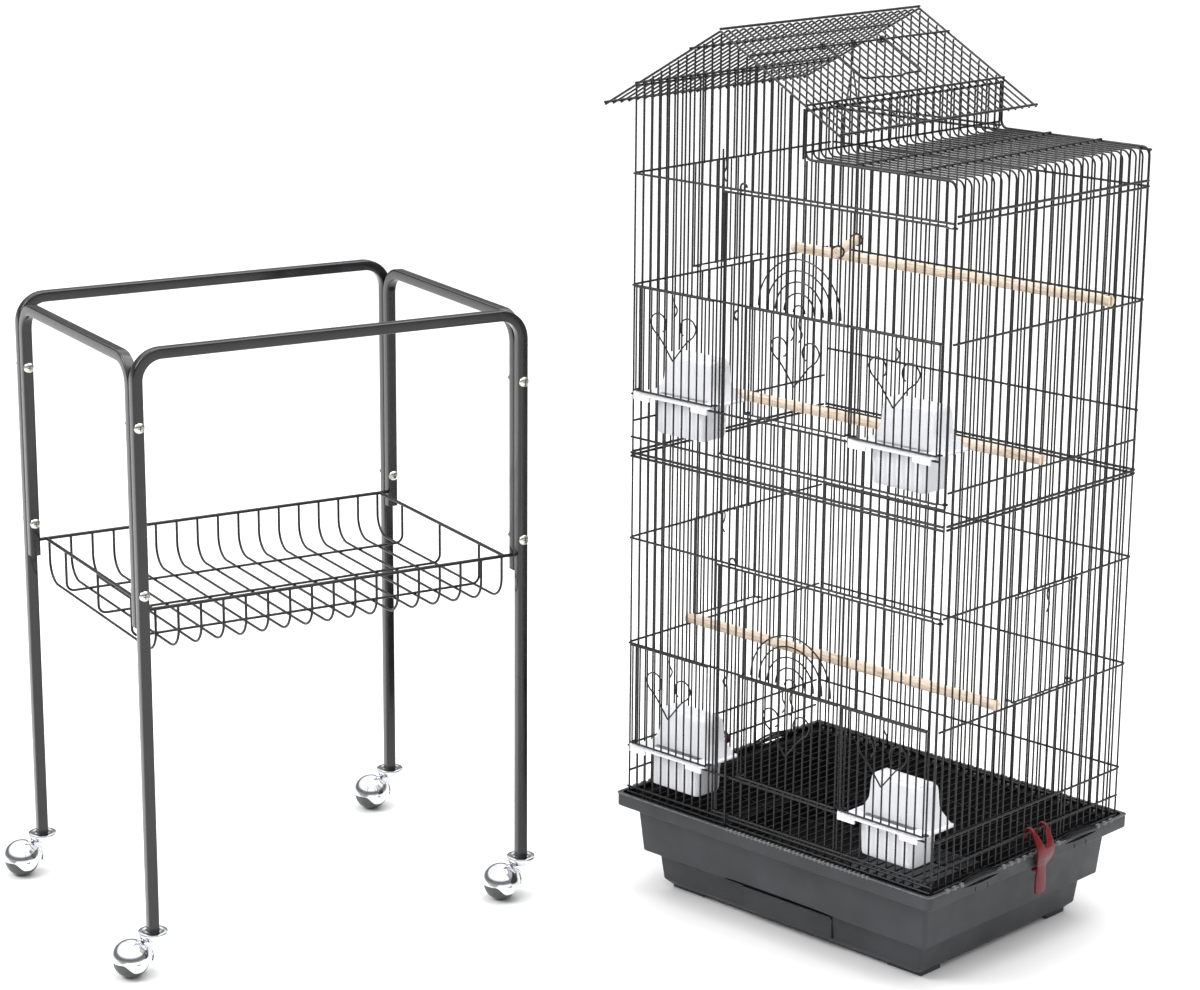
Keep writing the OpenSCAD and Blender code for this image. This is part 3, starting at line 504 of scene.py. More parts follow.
def front(dz, z0, z1, ring_low, ring_high, gable):
    """One tier's front: bars from z0 to z1 round the big door and the left feeder door."""
    s = Shape()

    def top(i):
        return roof_under(bx(i)) - 1 if gable and i <= STEP_BAR else z1

    for i in range(DOOR_BAR):
        if i in (0, DOOR_BAR - 1):
            s.zbar(bx(i), -HW, z0, top(i))
        else:
            s.zbar(bx(i), -HW, z0, SILL + dz + CROSS / 2)
            s.zbar(bx(i), -HW, HEAD + dz - CROSS / 2, top(i))
    s.zbar(FEED_L - FEED_W / 2, -HW, SILL + dz, HEAD + dz)
    s.zbar(DOOR_X0 - 4, -HW, z0, z1)
    for z in (SILL, HEAD):
        front_cross(s, -HL - 1, DOOR_X0 - 3, z + dz)
    for i in range(DOOR_BAR, COLUMNS + 1):
        s.zbar(bx(i), -HW, z0, DOOR_Z0 + dz - 3.2)
        if not (gable and i == COLUMNS):
            s.zbar(bx(i), -HW, LINTEL + dz - CROSS / 2, top(i))
    front_cross(s, -HL - 1, HL + 1, DOOR_Z0 + dz - 4.5)
    front_cross(s, -HL - 1, HL + 1, LINTEL + dz)
    front_cross(s, -HL - 1, HL + 1, ring_low, CROSS if ring_low < UP_RING else RING)
    if gable:
        s.zbar(STEP_X - 3, -HW, LINTEL + 42, roof_under(STEP_X) - 1)
    else:
        front_cross(s, -HL - 1, HL + 1, ring_high, RING)
    return s


def wires(shape, name, nodes, mat=BLACK):
    piece(shape, name, nodes, [mat])


wires(front(-TIER, FOOT, LOW_RING + RING / 2, RIM, LOW_RING, False), "lower_front_wires", "lower_front_panel")
wires(front(0, UP_RING - RING / 2, DECK, UP_RING, DECK - RING / 2, True), "upper_front_wires",
      ["upper_front_panel", "front_gable"])


def back(dz, z0, z1, ring_low, ring_high, gable):
    s = Shape()
    for i in range(COLUMNS + 1):
        s.zbar(bx(i), HW, z0, roof_under(bx(i)) - 1 if gable and i <= STEP_BAR else z1)
    for z in (SILL, HEAD, LINTEL):
        s.xbar(-HL - 1, HL + 1, HW + weld(CROSS), z + dz)
    for z in (ring_low, ring_high):
        s.xbar(-HL - 1, HL + 1, HW + weld(RING), z, RING)
    if gable:
        s.zbar(STEP_X - 3, HW, LINTEL + 42, roof_under(STEP_X) - 1)
        s.xbar(-HL - 1, STEP_X - 2, HW + weld(CROSS), DECK + 3.6)
    return s


wires(back(-TIER, FOOT, LOW_RING + RING / 2, RIM, LOW_RING, False), "lower_back_wires", "lower_back_panel")
wires(back(0, UP_RING - RING / 2, DECK, UP_RING, DECK - RING / 2, True), "upper_back_wires",
      ["upper_back_panel", "back_gable"])


END_Y = HW - 1.6  # half the length of the cross wires in the ends


def end(side, z0, z1, dz, levels, nest_y, ring):
    """One tier's end, with the doorway of a nest door about nest_y."""
    s = Shape()
    xs, g0, g1 = side * HL, nest_y - NEST_W / 2, nest_y + NEST_W / 2
    for j in range(1, ROWS):
        if g0 + 5 < by(j) < g1 - 5:
            s.zbar(xs, by(j), z0, HEAD + dz + CROSS / 2)
            s.zbar(xs, by(j), LINTEL + dz - CROSS / 2, z1)
        elif abs(by(j) - g0) > 5 and abs(by(j) - g1) > 5:
            s.zbar(xs, by(j), z0, z1)
    s.zbar(xs, g0, z0, z1)
    s.zbar(xs, g1, z0, z1)
    for z in levels:
        s.ybar(xs + side * weld(CROSS), -END_Y, END_Y, z)
    s.ybar(side * (HL + weld(RING)), -END_Y, END_Y, ring, RING)
    return s


NEST_Y = {"lower_left": -2, "lower_right": 8, "upper_left": -10}
low_levels = [RIM, CLIP_Z, SILL - TIER, HEAD - TIER, LINTEL - TIER]
for side, t in (("left", -1), ("right", 1)):
    wires(end(t, FOOT, LOW_RING + RING / 2, -TIER, low_levels, NEST_Y["lower_" + side], LOW_RING),
          "lower_" + side + "_wires", "lower_" + side + "_panel")
high_levels = [CLIP_Z + TIER, HEAD, LINTEL, WALL_Z - 5]
wires(end(-1, UP_RING - RING / 2, WALL_Z - 3.5, 0, high_levels, NEST_Y["upper_left"], UP_RING),
      "upper_left_wires", "upper_left_panel")

# The wires of the step wall, the flat top and the right end are one bent length each
s = Shape()
BEND = 9


def bent(y, foot):
    line = [(STEP_X, y, roof_under(STEP_X) - 1), (STEP_X, y, DECK_WIRE), (HL, y, DECK_WIRE), (HL, y, foot)]
    return fillet(line, BEND, 6)


for j in range(1, ROWS):
    s.wire(bent(by(j), UP_RING - RING / 2), BAR)
for t in (-1, 1):
    s.wire(bent(t * HW, LINTEL - 2 if t < 0 else UP_RING - RING / 2), RING)
for part in (0.34, 0.68):
    s.ybar(STEP_X + part * (HL - STEP_X), -HW - 1, HW + 1, DECK_WIRE + weld(CROSS))
for z in (DECK + 8, WALL_Z - 8):
    s.ybar(STEP_X - weld(CROSS), -END_Y, END_Y, z)
for z in (CLIP_Z + TIER, HEAD, LINTEL):
    s.ybar(HL + weld(CROSS), -END_Y, END_Y, z)
for z in (UP_RING, LINTEL + 7):
    s.ybar(HL + weld(RING), -END_Y, END_Y, z, RING)
wires(s, "upper_right_wires", ["upper_right_panel", "top_deck", "step_wall"])

# Roof: each wire runs from eave to eave over the ridge
s = Shape()
right, left = on_slope(1), on_slope(-1)
for j in range(ROWS + 1):
    y = by(j)
    s.wire(fillet([left((SLOPE, y, 0)), (RIDGE_X, y, RIDGE_WIRE), right((SLOPE, y, 0))], 4, 5),
           CROSS if j in (0, ROWS) else BAR)
s.ybar(RIDGE_X, -HW - 1, HW + 1, RIDGE_WIRE + weld(RING), RING)
for at, upper in ((right, HAND_X - RIDGE_X), (left, RIDGE_X - HAND_X + 84)):
    for run in (upper, STEP_X - RIDGE_X):
        u = run / math.cos(ROOF)
        s.wire([at((u, -HW - 1, weld(CROSS))), at((u, HW + 1, weld(CROSS)))], CROSS)
    s.wire([at((SLOPE - 1, -HW - 1, weld(RING))), at((SLOPE - 1, HW + 1, weld(RING)))], RING)
wires(s, "roof_wires", ["roof_left_slope", "roof_right_slope"])


# ---------------------------------------------------------------- doors
THIN = 1.8  # ornament wire


def main_door(dz):
    """The big hinged door, with the doorways of its middle and feeder doors."""
    s = Shape()
    x1 = HL - 9
    z0, z1 = DOOR_Z0 + dz, DOOR_Z1 + dz
    m0, m1, f0 = MID_X - MID_W / 2, MID_X + MID_W / 2, FEED_R - FEED_W / 2
    for i in range(DOOR_BAR, COLUMNS - 1):
        if bx(i) < m0 - 4:
            s.zbar(bx(i), -HW, z0, z1)
        else:
            s.zbar(bx(i), -HW, z0, SILL + dz + CROSS / 2)
            s.zbar(bx(i), -HW, HEAD + dz - CROSS / 2, z1)
    for x in (DOOR_X0, m0, m1, f0, x1):
        s.zbar(x, -HW, z0, z1)
    for z in (z0, SILL + dz, HEAD + dz, z1):
        front_cross(s, DOOR_X0 - 1.2, HL - 8, z)
    # eyes round the corner bar, which is the hinge
    for z in (z0 + 1, z1 - 1):
        s.wire([(HL - 9.4, -HW - 2.6, z), (HL - 4, -HW - 2.6, z)]
               + [(HL + 2.6 * math.sin(a), -HW - 2.6 * math.cos(a), z)
                  for a in [math.radians(20 * k) for k in range(17)]], 1.9, n=8)
    # half rings over the middle door
    for r in (8, 21, 33, 45, 57):
        s.wire([(MID_X + r * math.cos(a), -HW - 1.6, HEAD + 3.5 + dz + r * math.sin(a))
                for a in [math.pi * k / 28 for k in range(29)]], THIN, n=8)
    return s


LATCH_X = DOOR_X0 + 26


def latch(dz, x, foot):
    """The rod in front of a big door: a kink to lift it by and a hook at its top."""
    s = Shape()
    y = -HW - 5.2
    pts = [(0, foot), (0, 600), (0, 688), (-3, 695), (-6, 700), (-3, 705), (0, 712), (0, 780), (0, 838)]
    line = spline([(x + a, y, b + dz) for a, b in pts], 4)
    hook = [(x + 4.5 - 4.5 * math.cos(a), y, 839 + dz + 4.2 * math.sin(a))
            for a in [math.pi * k / 8 for k in range(1, 9)]]
    s.wire(line + hook, 2.4)
    return s


def eye(s, x, y, z, dx, dy, reach):
    """A wire bent round a guide bar at (x, y); its tail leaves along (dx, dy)."""
    a0 = math.atan2(dy, dx)
    loop = [(x + 2.75 * math.cos(a0 + a), y + 2.75 * math.sin(a0 + a), z)
            for a in [math.radians(22.5 * k) for k in range(1, 17)]]
    s.wire([(x + dx * reach, y + dy * reach, z), (x + dx * 3.6, y + dy * 3.6, z)] + loop, 1.5, n=8)


def slider(at, w, n, curls, hearts=True, eyes_z=1.0):
    """A lifting door w wide; local X along the panel, -Y away from it, Z up from the foot."""
    s = Shape(at)
    for k in range(n + 1):
        s.zbar(-w / 2 + k * w / n, 0, 0, SMALL_H, 2.0)
    for z in (1.2, SMALL_H - 1.2):
        s.xbar(-w / 2 - 1, w / 2 + 1, -1.7, z, 2.2)
    if hearts:
        for t in (-1, 1):
            arc = [(22 + 11.5 * math.cos(a), 39 + 11.5 * math.sin(a))
                   for a in [math.radians(-20 + 210 * k / 10) for k in range(11)]]
            pts = [(0, 0), (9, 11), (20, 24), (29, 31)] + arc[1:] + [(12.5, 33), (15.5, 31)]
            s.wire(spline([(t * a, -1.7, 42 + b) for a, b in pts], 3), THIN, n=8)
    for sx in curls:
        pts = [(0, 0), (3.5, 5), (4.5, 10), (1, 15), (0, 20), (1, 26)]
        s.wire(spline([(sx + a, -1.7, SMALL_H - 28 + b) for a, b in pts], 4), THIN, n=8)
    for t in (-1, 1):
        eye(s, t * w / 2, 5.5, eyes_z, 0, -1, 7.1)
    return s


OFF = 5.5  # from the middle of the panel's bars to that of a sliding door's


def in_front(x, dz):
    return lambda p: (x + p[0], -HW - OFF + p[1], SILL + dz + 5.5 + p[2])


def at_end(side, y, dz):
    return lambda p: (side * (HL + OFF) - side * p[1], y + side * p[0], HEAD + dz + 5 + p[2])


TIERS = (("lower", -TIER), ("upper", 0))
for (tier, dz), latch_x, latch_foot in zip(TIERS, (LATCH_X - 6, LATCH_X), (525, 502)):
    wires(main_door(dz), tier + "_main_door_wires", tier + "_main_door")
    wires(latch(dz, latch_x, latch_foot), tier + "_latch_wire", tier + "_latch_rod")
    for what, x, w, n, curls in (("mid_door", MID_X, MID_W, 12, (-6, 5)),
                                 ("left_feed_door", FEED_L, FEED_W, 10, (1,)),
                                 ("right_feed_door", FEED_R, FEED_W, 10, (1,))):
        name = tier + "_" + what
        wires(slider(in_front(x, dz), w, n, curls), name + "_wires", name)

for where, y in NEST_Y.items():
    at = at_end(1 if "right" in where else -1, y, -TIER if "lower" in where else 0)
    name = where + "_nest_door"
    wires(slider(at, NEST_W, 9, (0,), hearts=False, eyes_z=2.0), name + "_wires", name)

# ---------------------------------------------------------------- handle and swing
# Both hang on the right slope's cross wire at HAND_X. The handle lies on the slope, its ends curled round
# the wire
s = Shape(on_slope(1))
u0 = (HAND_X - RIDGE_X) / math.cos(ROOF)
wl = weld(CROSS)
HAND_W = 49.6  # half the handle's width
half_arm = [(4.6, HAND_W), (62, HAND_W), (64.5, 44), (64.5, 20), (67, 12)]
arm = [(u0 + u, -y, wl + 2.7) for u, y in half_arm] + [(u0 + u, y, wl + 2.7) for u, y in half_arm[::-1]]


def loop(y):
    turns = [math.radians(65 + 22 * k) for k in range(15)]
    return [(u0 + 2.95 * math.cos(a), y, wl + 2.95 * math.sin(a)) for a in turns]


s.wire(loop(-HAND_W)[::-1] + fillet(arm, 3, 4) + loop(HAND_W), 2.6)
wires(s, "carry_handle_wire", "carry_handle")

hz = RIDGE_WIRE - PITCH * (HAND_X - RIDGE_X) + wl * math.cos(ROOF)
hx = HAND_X + wl * math.sin(ROOF)
NECK_Z, SWING_Z = hz - 24, 755.0
SWING_TURN = math.radians(-65)
ca, sa = math.cos(SWING_TURN), math.sin(SWING_TURN)


def on_swing(p):
    return (hx + p[0] * ca - p[1] * sa, p[0] * sa + p[1] * ca, p[2])


s = Shape()
turns = [math.radians(20 * k) for k in range(17)]
hook = [(hx + 3 * math.sin(a), 0, hz - 3 * math.cos(a)) for a in turns]
s.wire([(hx, 0, NECK_Z), (hx, 0, hz - 4)] + hook, 2.1)
s.at = on_swing
s.wire(fillet([(-40, 0, SWING_Z + 6.8), (-36, 0, NECK_Z - 60), (0, 0, NECK_Z), (36, 0, NECK_Z - 60),
               (40, 0, SWING_Z + 6.8)], [10, 4, 10], 5), 2.1)
for t in (-1, 1):
    s.ring((t * 40, 0, SWING_Z), (1, 0, 0), 6.6, 2.0)
wires(s, "swing_wire", "swing_wires")
s = Shape(on_swing)
tip = [(4.4, 49), (5.3, 48.2), (5.5, 47), (5.5, 46)]
waist = [(5.5 - 0.12 * math.sin(k * 1.3), -40 + 8 * k) for k in range(11)]
s.lathe([(r, -x) for r, x in tip] + waist + tip[::-1], 32, "x", (0, 0, SWING_Z))
piece(s, "swing_dowel", "swing_perch", [SWING_WOOD])

# ---------------------------------------------------------------- floor grate
s = Shape()
gx, gy, gz = HL - 6, HW - 5, 111.5  # half the grate's sides and the height of its rim
s.wire(fillet([(0, -gy, gz), (gx, -gy, gz), (gx, gy, gz), (-gx, gy, gz), (-gx, -gy, gz), (-0.1, -gy, gz)],
              [8, 8, 8, 8], 6), 3.0)
for i in range(-17, 18):
    s.ybar(i * 2 * HL / COLUMNS, -gy - 1, gy + 1, gz + 2.2, 2)
for y in (-0.25, 0.25):
    s.xbar(-gx, gx, y * 2 * gy, gz + 0.3, 2.4)
wires(s, "tray_grate_wires", "tray_grate", GRATE)

# ---------------------------------------------------------------- base
TL, TW = 229.0, 180.5  # half the rim's length and width


def soft_profile(pts, r):
    line = fillet([(a, 0, b) for a, b in pts], r, 3)
    return [(p.x, p.z) for p in line]


# The shell is a stack of rounded rectangles: (how far in from the rim, height), up the outside and down the
# inside
s = Shape()
outer = soft_profile([(60, 5), (46, 5), (39, 12.2), (36, 40), (22, 47.2), (17.5, 98.2), (10, 102), (0, 102.4),
                      (0, 118), (4, 118)], 1.6)
inner = soft_profile([(4, 118), (4, 110), (17.5, 110), (24.5, 49), (38.5, 49), (41.5, 14), (48.5, 7.5),
                      (60, 7.5)], 1.2)


def tray_ring(i, z):
    r = 7 if i < 12 else 5
    return [(x, y, z) for x, y in rounded(TL - i, TW - i, r, 5)]


ro = [s.put(tray_ring(i, z)) for i, z in outer]
for a, c in zip(ro, ro[1:]):
    s.join(a, c)
s.face(ro[0][::-1])
# the inside faces take the darker plastic: painted shade
s.mat = 1
ri = [ro[-1]] + [s.put(tray_ring(i, z)) for i, z in inner[1:]]
for a, c in zip(ri, ri[1:]):
    s.join(a, c)
s.face(ri[-1])
TRAY = [SHELL, SHADED_INSIDE, PAINTED_HIGHLIGHT]
tray = loose(s, "base_tray_shell", TRAY)


def lens(w, h, n=24):
    """Two arcs that meet in points, about w wide and 2 h high."""
    r = (w * w + h * h) / (4 * h)
    off = (w * w - h * h) / (4 * h)
    half = math.asin(w / 2 / r)
    up = [(r * math.sin(a), r * math.cos(a) - off) for a in [-half + 2 * half * k / n for k in range(n + 1)]]
    return up + [(x, -y) for x, y in up[::-1][1:-1]]


def cutter():
    c = Shape()
    # cut walls take the darker plastic: painted shade in the slots and round the drawer
    c.mat = 1
    return c


SIDE_CUT_Y = (-90, 90)
drawer_hole = cutter()
drawer_hole.block(-62, 68, -200, -100.5, 13, 41, 0.8)
thumb_slit = cutter()
slit = [(-80 + 162 * t, 3.9 * t ** 0.4 * (1 - t) ** 0.7) for t in [k / 24 for k in range(25)]]
slit = [(x, 47.8 + h) for x, h in slit] + [(x, 47.4 - h) for x, h in slit[::-1]]
thumb_slit.loft([[(x, y, z) for x, z in slit] for y in (-200, -154)])
cutters = [drawer_hole, thumb_slit]
for sx in (-1, 1):
    for y in SIDE_CUT_Y:
        c = cutter()
        c.loft([[(x, y + a, 113.4 + b) for a, b in lens(62, 3.6)] for x in (sx * 221, sx * 240)])
        cutters.append(c)
cut(tray, [loose(c, "c", TRAY) for c in cutters])

s = Shape()
# corner feet
for sx in (-1, 1):
    for sy in (-1, 1):
        cx, cy = sx * (TL - 70), sy * (TW - 67)
        s.block(cx - 24, cx + 24, cy - 17, cy + 17, 0, 5.3, 1.0)
# raised lips over the cuts in the end rims and two small moulded arcs beside each, all in painted-shade black
s.mat = 1
for sx in (-1, 1):
    for y in SIDE_CUT_Y:
        for x, d in ((sx * 227.6, 2.6), (sx * 222.6, 2.0)):
            steps = [-32 + 4 * k for k in range(17)]
            s.wire([(x, y + a, 117.2 + 4.6 * (1 - (a / 32) ** 2)) for a in steps], d, n=8)
        for t in (-1, 1):
            s.wire([(sx * TL, y + t * (9 + 2.4 * math.cos(a)), 106 + 2.4 * math.sin(a)) for a in
                    [math.radians(-80 + 20 * k) for k in range(9)]], 0.9, n=6)
# painted highlight: a light bead on the rim's top edge, stopping at the cuts, and light grey teeth that keep
# the bars in place
s.mat = 2
EX, EY, EZ = TL - 0.3, TW - 0.3, 117.5
for t in (-1, 1):
    s.wire([(t * EX, k * 63, EZ) for k in (-1, 1)], 1.5, n=8)
    s.wire(fillet([(-EX, t * 130, EZ), (-EX, t * EY, EZ), (EX, t * EY, EZ), (EX, t * 130, EZ)], 5), 1.5, n=8)
for i in range(COLUMNS):
    x = (bx(i) + bx(i + 1)) / 2
    for t in (-1, 1):
        if t > 0 or abs(x - LATCH_X + 6) > 5:  # the lower latch rod stands in that gap
            s.block(x - 2.2, x + 2.2, t * 172.6 - 1.1, t * 172.6 + 1.1, 109.8, 113.6, 0.7)
        if -60 < x < 150:
            for h in (-3, 3):
                s.block(x + h - 1.6, x + h + 1.6, t * 179.2 - 1.6, t * 179.2 + 1.6, 115.4, 119.4, 0.9)
for j in range(ROWS):
    y = (by(j) + by(j + 1)) / 2
    if 58 < abs(y) < 124 or abs(y) > 160:
        continue
    for t in (-1, 1):
        s.block(t * 227.4 - 2.1, t * 227.4 + 2.1, y - 3.4, y + 3.4, 114.6, 120.0, 1.8)
detail = loose(s, "d", TRAY)
bm = bmesh.new()
bm.from_mesh(tray.data)
bm.from_mesh(detail.data)
bm.to_mesh(tray.data)
bm.free()
bpy.data.objects.remove(detail)
finish_piece(tray, ["base_tray"], TRAY)

softened("floor_drawer", "floor_drawer_shell", [SHELL], 0.8)

# clips: two prongs pass between the bars, hook over the low end wire and run into one strip with a tail.
# About that wire: the strip's middle line, and by height half the width of the strip and of the gap between
# the prongs
CLIP_RUN = spline([(-2.6, 0, -7.4), (-4.0, 0, -3.4), (-2.6, 0, 2.2), (2.0, 0, 4.6), (6.4, 0, 2.0),
                   (10.2, 0, -5), (13.8, 0, -13), (15.6, 0, -20), (15.0, 0, -27), (12.4, 0, -34),
                   (10.6, 0, -41), (10, 0, -50), (10, 0, -61), (10, 0, -71.5)], 4)
CLIP_WIDE = {-99: 8.2, -71.5: 7.2, -68: 9.2, -52: 9.0, -45: 7.8, -41: 7.6, -34: 11.5, -27: 14.4, -18: 14.8,
             99: 14.8}
CLIP_GAP = {-99: 0.0, -18: 0.0, -15: 2.6, -10: 4.2, -5: 6.4, 1: 9.9, 99: 9.9}
HOOK = 13  # points of CLIP_RUN in the hook
FORK = min(i for i, q in enumerate(CLIP_RUN) if i > HOOK and q.z < -18)


def eased(table, z):
    """The table's value at z, with soft steps between its rows."""
    k = sorted(table)
    for a, c in zip(k, k[1:]):
        if a <= z <= c:
            f = (z - a) / (c - a)
            f = f * f * (3 - 2 * f)
            return table[a] + (table[c] - table[a]) * f


def section(i, y0, y1):
    """The strip's cross-section at point i, from y0 to y1 along the wire."""
    a = CLIP_RUN[max(i - 1, 0)]
    c = CLIP_RUN[min(i + 1, len(CLIP_RUN) - 1)]
    d = (c - a).normalized()
    h, cy = (y1 - y0) / 2, (y0 + y1) / 2
    return [(CLIP_RUN[i].x - d.z * v, cy + u, CLIP_RUN[i].z + d.x * v) for u, v in rounded(h, 1.45, 0.9, 3)]


def clip(t):
    s = Shape(lambda p: (t * (HL + weld(CROSS) + p[0]), t * (12.4 + p[1]), CLIP_Z + p[2]))
    for sy in (-1, 1):
        rings = []
        for i in range(FORK + 1):
            z = 4 if i < HOOK else CLIP_RUN[i].z
            g, w = eased(CLIP_GAP, z), eased(CLIP_WIDE, z)
            rings.append(section(i, g, w) if sy > 0 else section(i, -w, -g))
        s.loft(rings)
    halves = [(i, eased(CLIP_WIDE, CLIP_RUN[i].z)) for i in range(FORK, len(CLIP_RUN))]
    s.loft([section(i, -w, w) for i, w in halves])
    s.block(2.9, 10.2, -8.5, 8.5, -45.4, -42.2, 1.2)  # catch under the rim
    return s


for side, t in (("left", -1), ("right", 1)):
    piece(clip(t), side + "_clip_moulding", side + "_clip", [RED], 50)


# ---------------------------------------------------------------- feeder cups
CUP_Y = 24.5  # middle of the trough behind the bars


def trough_ring(z, hx, hy, r, cy=CUP_Y, cx=0):
    return [(x, y, z) for x, y in rounded(hx, hy, r, 4, cx, cy)]


def u_line(x0, x1, y0, y1, r, n=4):
    """A U that opens towards +Y."""
    turn = [math.pi / 2 * q / n for q in range(n + 1)]
    out = [(x0, y1)]
    out += [(x0 + r - r * math.cos(a), y0 + r - r * math.sin(a)) for a in turn]
    out += [(x1 - r + r * math.sin(a), y0 + r - r * math.cos(a)) for a in turn]
    return out + [(x1, y1)]


def cup(x, dz):
    s = Shape(lambda p: (x + p[0], -HW + p[1], SILL + dz + p[2]))
    # bar in front of the wires, with its two tabs
    s.block(-60, 50, -6.4, -3.5, 0, 4.6, 1.0)
    s.block(-60, -36, -6.4, -3.5, -5, 1.6, 0.8)
    s.block(26, 50, -6.4, -3.5, -5, 1.6, 0.8)

    # rim plate with the hole of the trough
    def flat(z, i):
        return trough_ring(z, 53.6 - i, 30.1 - i, 3, 23.7, 1.6)

    def hole(z, i):
        return trough_ring(z, 35 + i, 18.6 + i, 4)
    s.loft([hole(2, 0), flat(2, 0.5), flat(2.5, 0), flat(4.1, 0), flat(4.6, 0.5), hole(4.6, 0.3),
            hole(4.2, 0)], loop=True)
    # trough, down the outside and up the inside
    s.loft([trough_ring(*k) for k in (
        (2.0, 37.5, 20.5, 5), (-12, 36.9, 20.2, 5), (-36, 35.8, 19.7, 5), (-39.3, 35.2, 19.1, 5),
        (-40.4, 33.5, 17.5, 4), (-38.6, 31.5, 15.5, 4), (-37, 33.3, 17.3, 4), (-12, 34.9, 18.2, 4),
        (2.0, 35.5, 18.5, 4))], loop=True)
    # hood, open to the inside of the cage
    rings = []
    for z, x0, x1, y0, y1, r in ((4.4, -46, 49, 14, 53, 4), (8, -44.4, 46.4, 14.6, 51.5, 5),
                                 (18, -39, 39.2, 16.6, 47.6, 6), (22, -38, 37.6, 17.1, 46.8, 6),
                                 (40, -37.2, 36.2, 18.3, 46.1, 6), (44, -36.4, 35.4, 18.8, 45.6, 6),
                                 (47, -34.6, 33.6, 20.2, 44, 6), (48.7, -32, 31, 22.6, 42.4, 5)):
        outside = u_line(x0, x1, y0, y1, r)
        inside = u_line(x0 + 2, x1 - 2, y0 + 2, y1, max(r - 1.6, 1))
        rings.append([(a, b, z) for a, b in outside + inside[::-1]])
    s.loft(rings)
    s.block(-32.6, 31.6, 22, 42.6, 46.9, 49, 1.0)
    return s


for tier, dz in TIERS:
    for side, x in (("left", FEED_L), ("right", FEED_R)):
        name = tier + "_" + side + "_cup"
        piece(cup(x, dz), name + "_moulding", name, [WHITE])

# ---------------------------------------------------------------- stand
TUBE_SIDE = 12
tube_out = rounded(TUBE_SIDE / 2, TUBE_SIDE / 2, 2.0, 4)
tube_in = rounded(TUBE_SIDE / 2 - 1, TUBE_SIDE / 2 - 1, 1.2, 4)


def u_frame(name, half, foot, top, place):
    """A bent square tube with open ends: up from foot, over at top, and down again."""
    s = Shape(lambda p: on_stand(place(p)))
    z = top - TUBE_SIDE / 2
    line = fillet([(-half, 0, foot), (-half, 0, z), (half, 0, z), (half, 0, foot)], 28, 14)
    a = s.sweep(line, tube_out)
    del s.f[-2:], s.m[-2:]
    c = s.sweep(line, tube_in)
    del s.f[-2:], s.m[-2:]
    s.join(a[0], c[0])
    s.join(a[-1], c[-1])
    piece(s, name + "_tube", name + "_frame", [TUBE])


def along(t):
    return lambda p: (p[0], t * SW + p[1], p[2])


def across(t):
    return lambda p: (t * SL - p[1], p[0], p[2])


for t, name in ((-1, "front_leg"), (1, "back_leg")):
    u_frame(name, SL, 48, 689, along(t))
for t, name in ((-1, "left_end"), (1, "right_end")):
    u_frame(name, SW - TUBE_SIDE, 388, 682, across(t))

# bolts with domed heads and a dark cross of painted shade for the recess: (radius, depth from under the head)
DOME = [(0.01, -3.9)]
DOME += [(6 * math.sin(a), -0.6 - 3.3 * math.cos(a)) for a in [math.pi / 2 * k / 8 for k in range(1, 9)]]
DOME += [(5.8, -0.2), (2.5, -0.2), (2.5, 30), (2.1, 30.2)]


def at_bolt(sx, y, z):
    return lambda p: on_stand((sx * SL + p[0], y + p[2], z + p[1]))


s = Shape()
for sx in (-1, 1):
    for y in (-SW - TUBE_SIDE / 2, SW - TUBE_SIDE * 1.5):
        for z in (426, 607):
            s.at = at_bolt(sx, y, z)
            s.mat = 0
            s.lathe(DOME, 32)
            # painted shade: a dark cross on the dome in place of the shaded recess
            s.mat = 1
            for a, c in ((2.6, 0.5), (0.5, 2.6)):
                s.block(-a, a, -c, c, -4.0, -3.2, 0.1)
piece(s, "frame_bolt_heads", "frame_bolts", [NICKEL, DARK_METAL_AND_SHADE])
softened("frame_nuts", "frame_nut_hexes", [DARK_METAL_AND_SHADE], 0.4)

# basket: half its length and width, the heights of its rim and floor
BX, BY, RIM_Z, FLOOR_Z = SL - 15.3, SW - 11.5, 405.0, 355.5
BASKET_WIRE, BASKET_RIM = 3.0, 4


def hung(a, b, x, y, z, bend, seg):
    """A wire down from the rim at (a - x, b - y), under the basket and up at (a + x, b + y)."""
    line = [(a - x, b - y, RIM_Z), (a - x, b - y, z), (a + x, b + y, z), (a + x, b + y, RIM_Z)]
    s.wire(fillet(line, bend, seg), BASKET_WIRE)


s = Shape(on_stand)
for k in range(-8, 9):
    hung(k * 26, 0, 0, BY, FLOOR_Z, 30, 9)
for y in (-97, 0, 97):
    hung(0, y, BX, 0, FLOOR_Z + 2.6, 9, 6)
for t in (-1, 1):
    s.xbar(-SL + 6, SL - 6, t * BY, RIM_Z, BASKET_RIM)
    s.ybar(t * BX, -BY + 1.8, BY - 1.8, RIM_Z, BASKET_RIM)
piece(s, "basket_wires", ["basket_floor", "basket_long_sides", "basket_short_sides"], [BASKET])

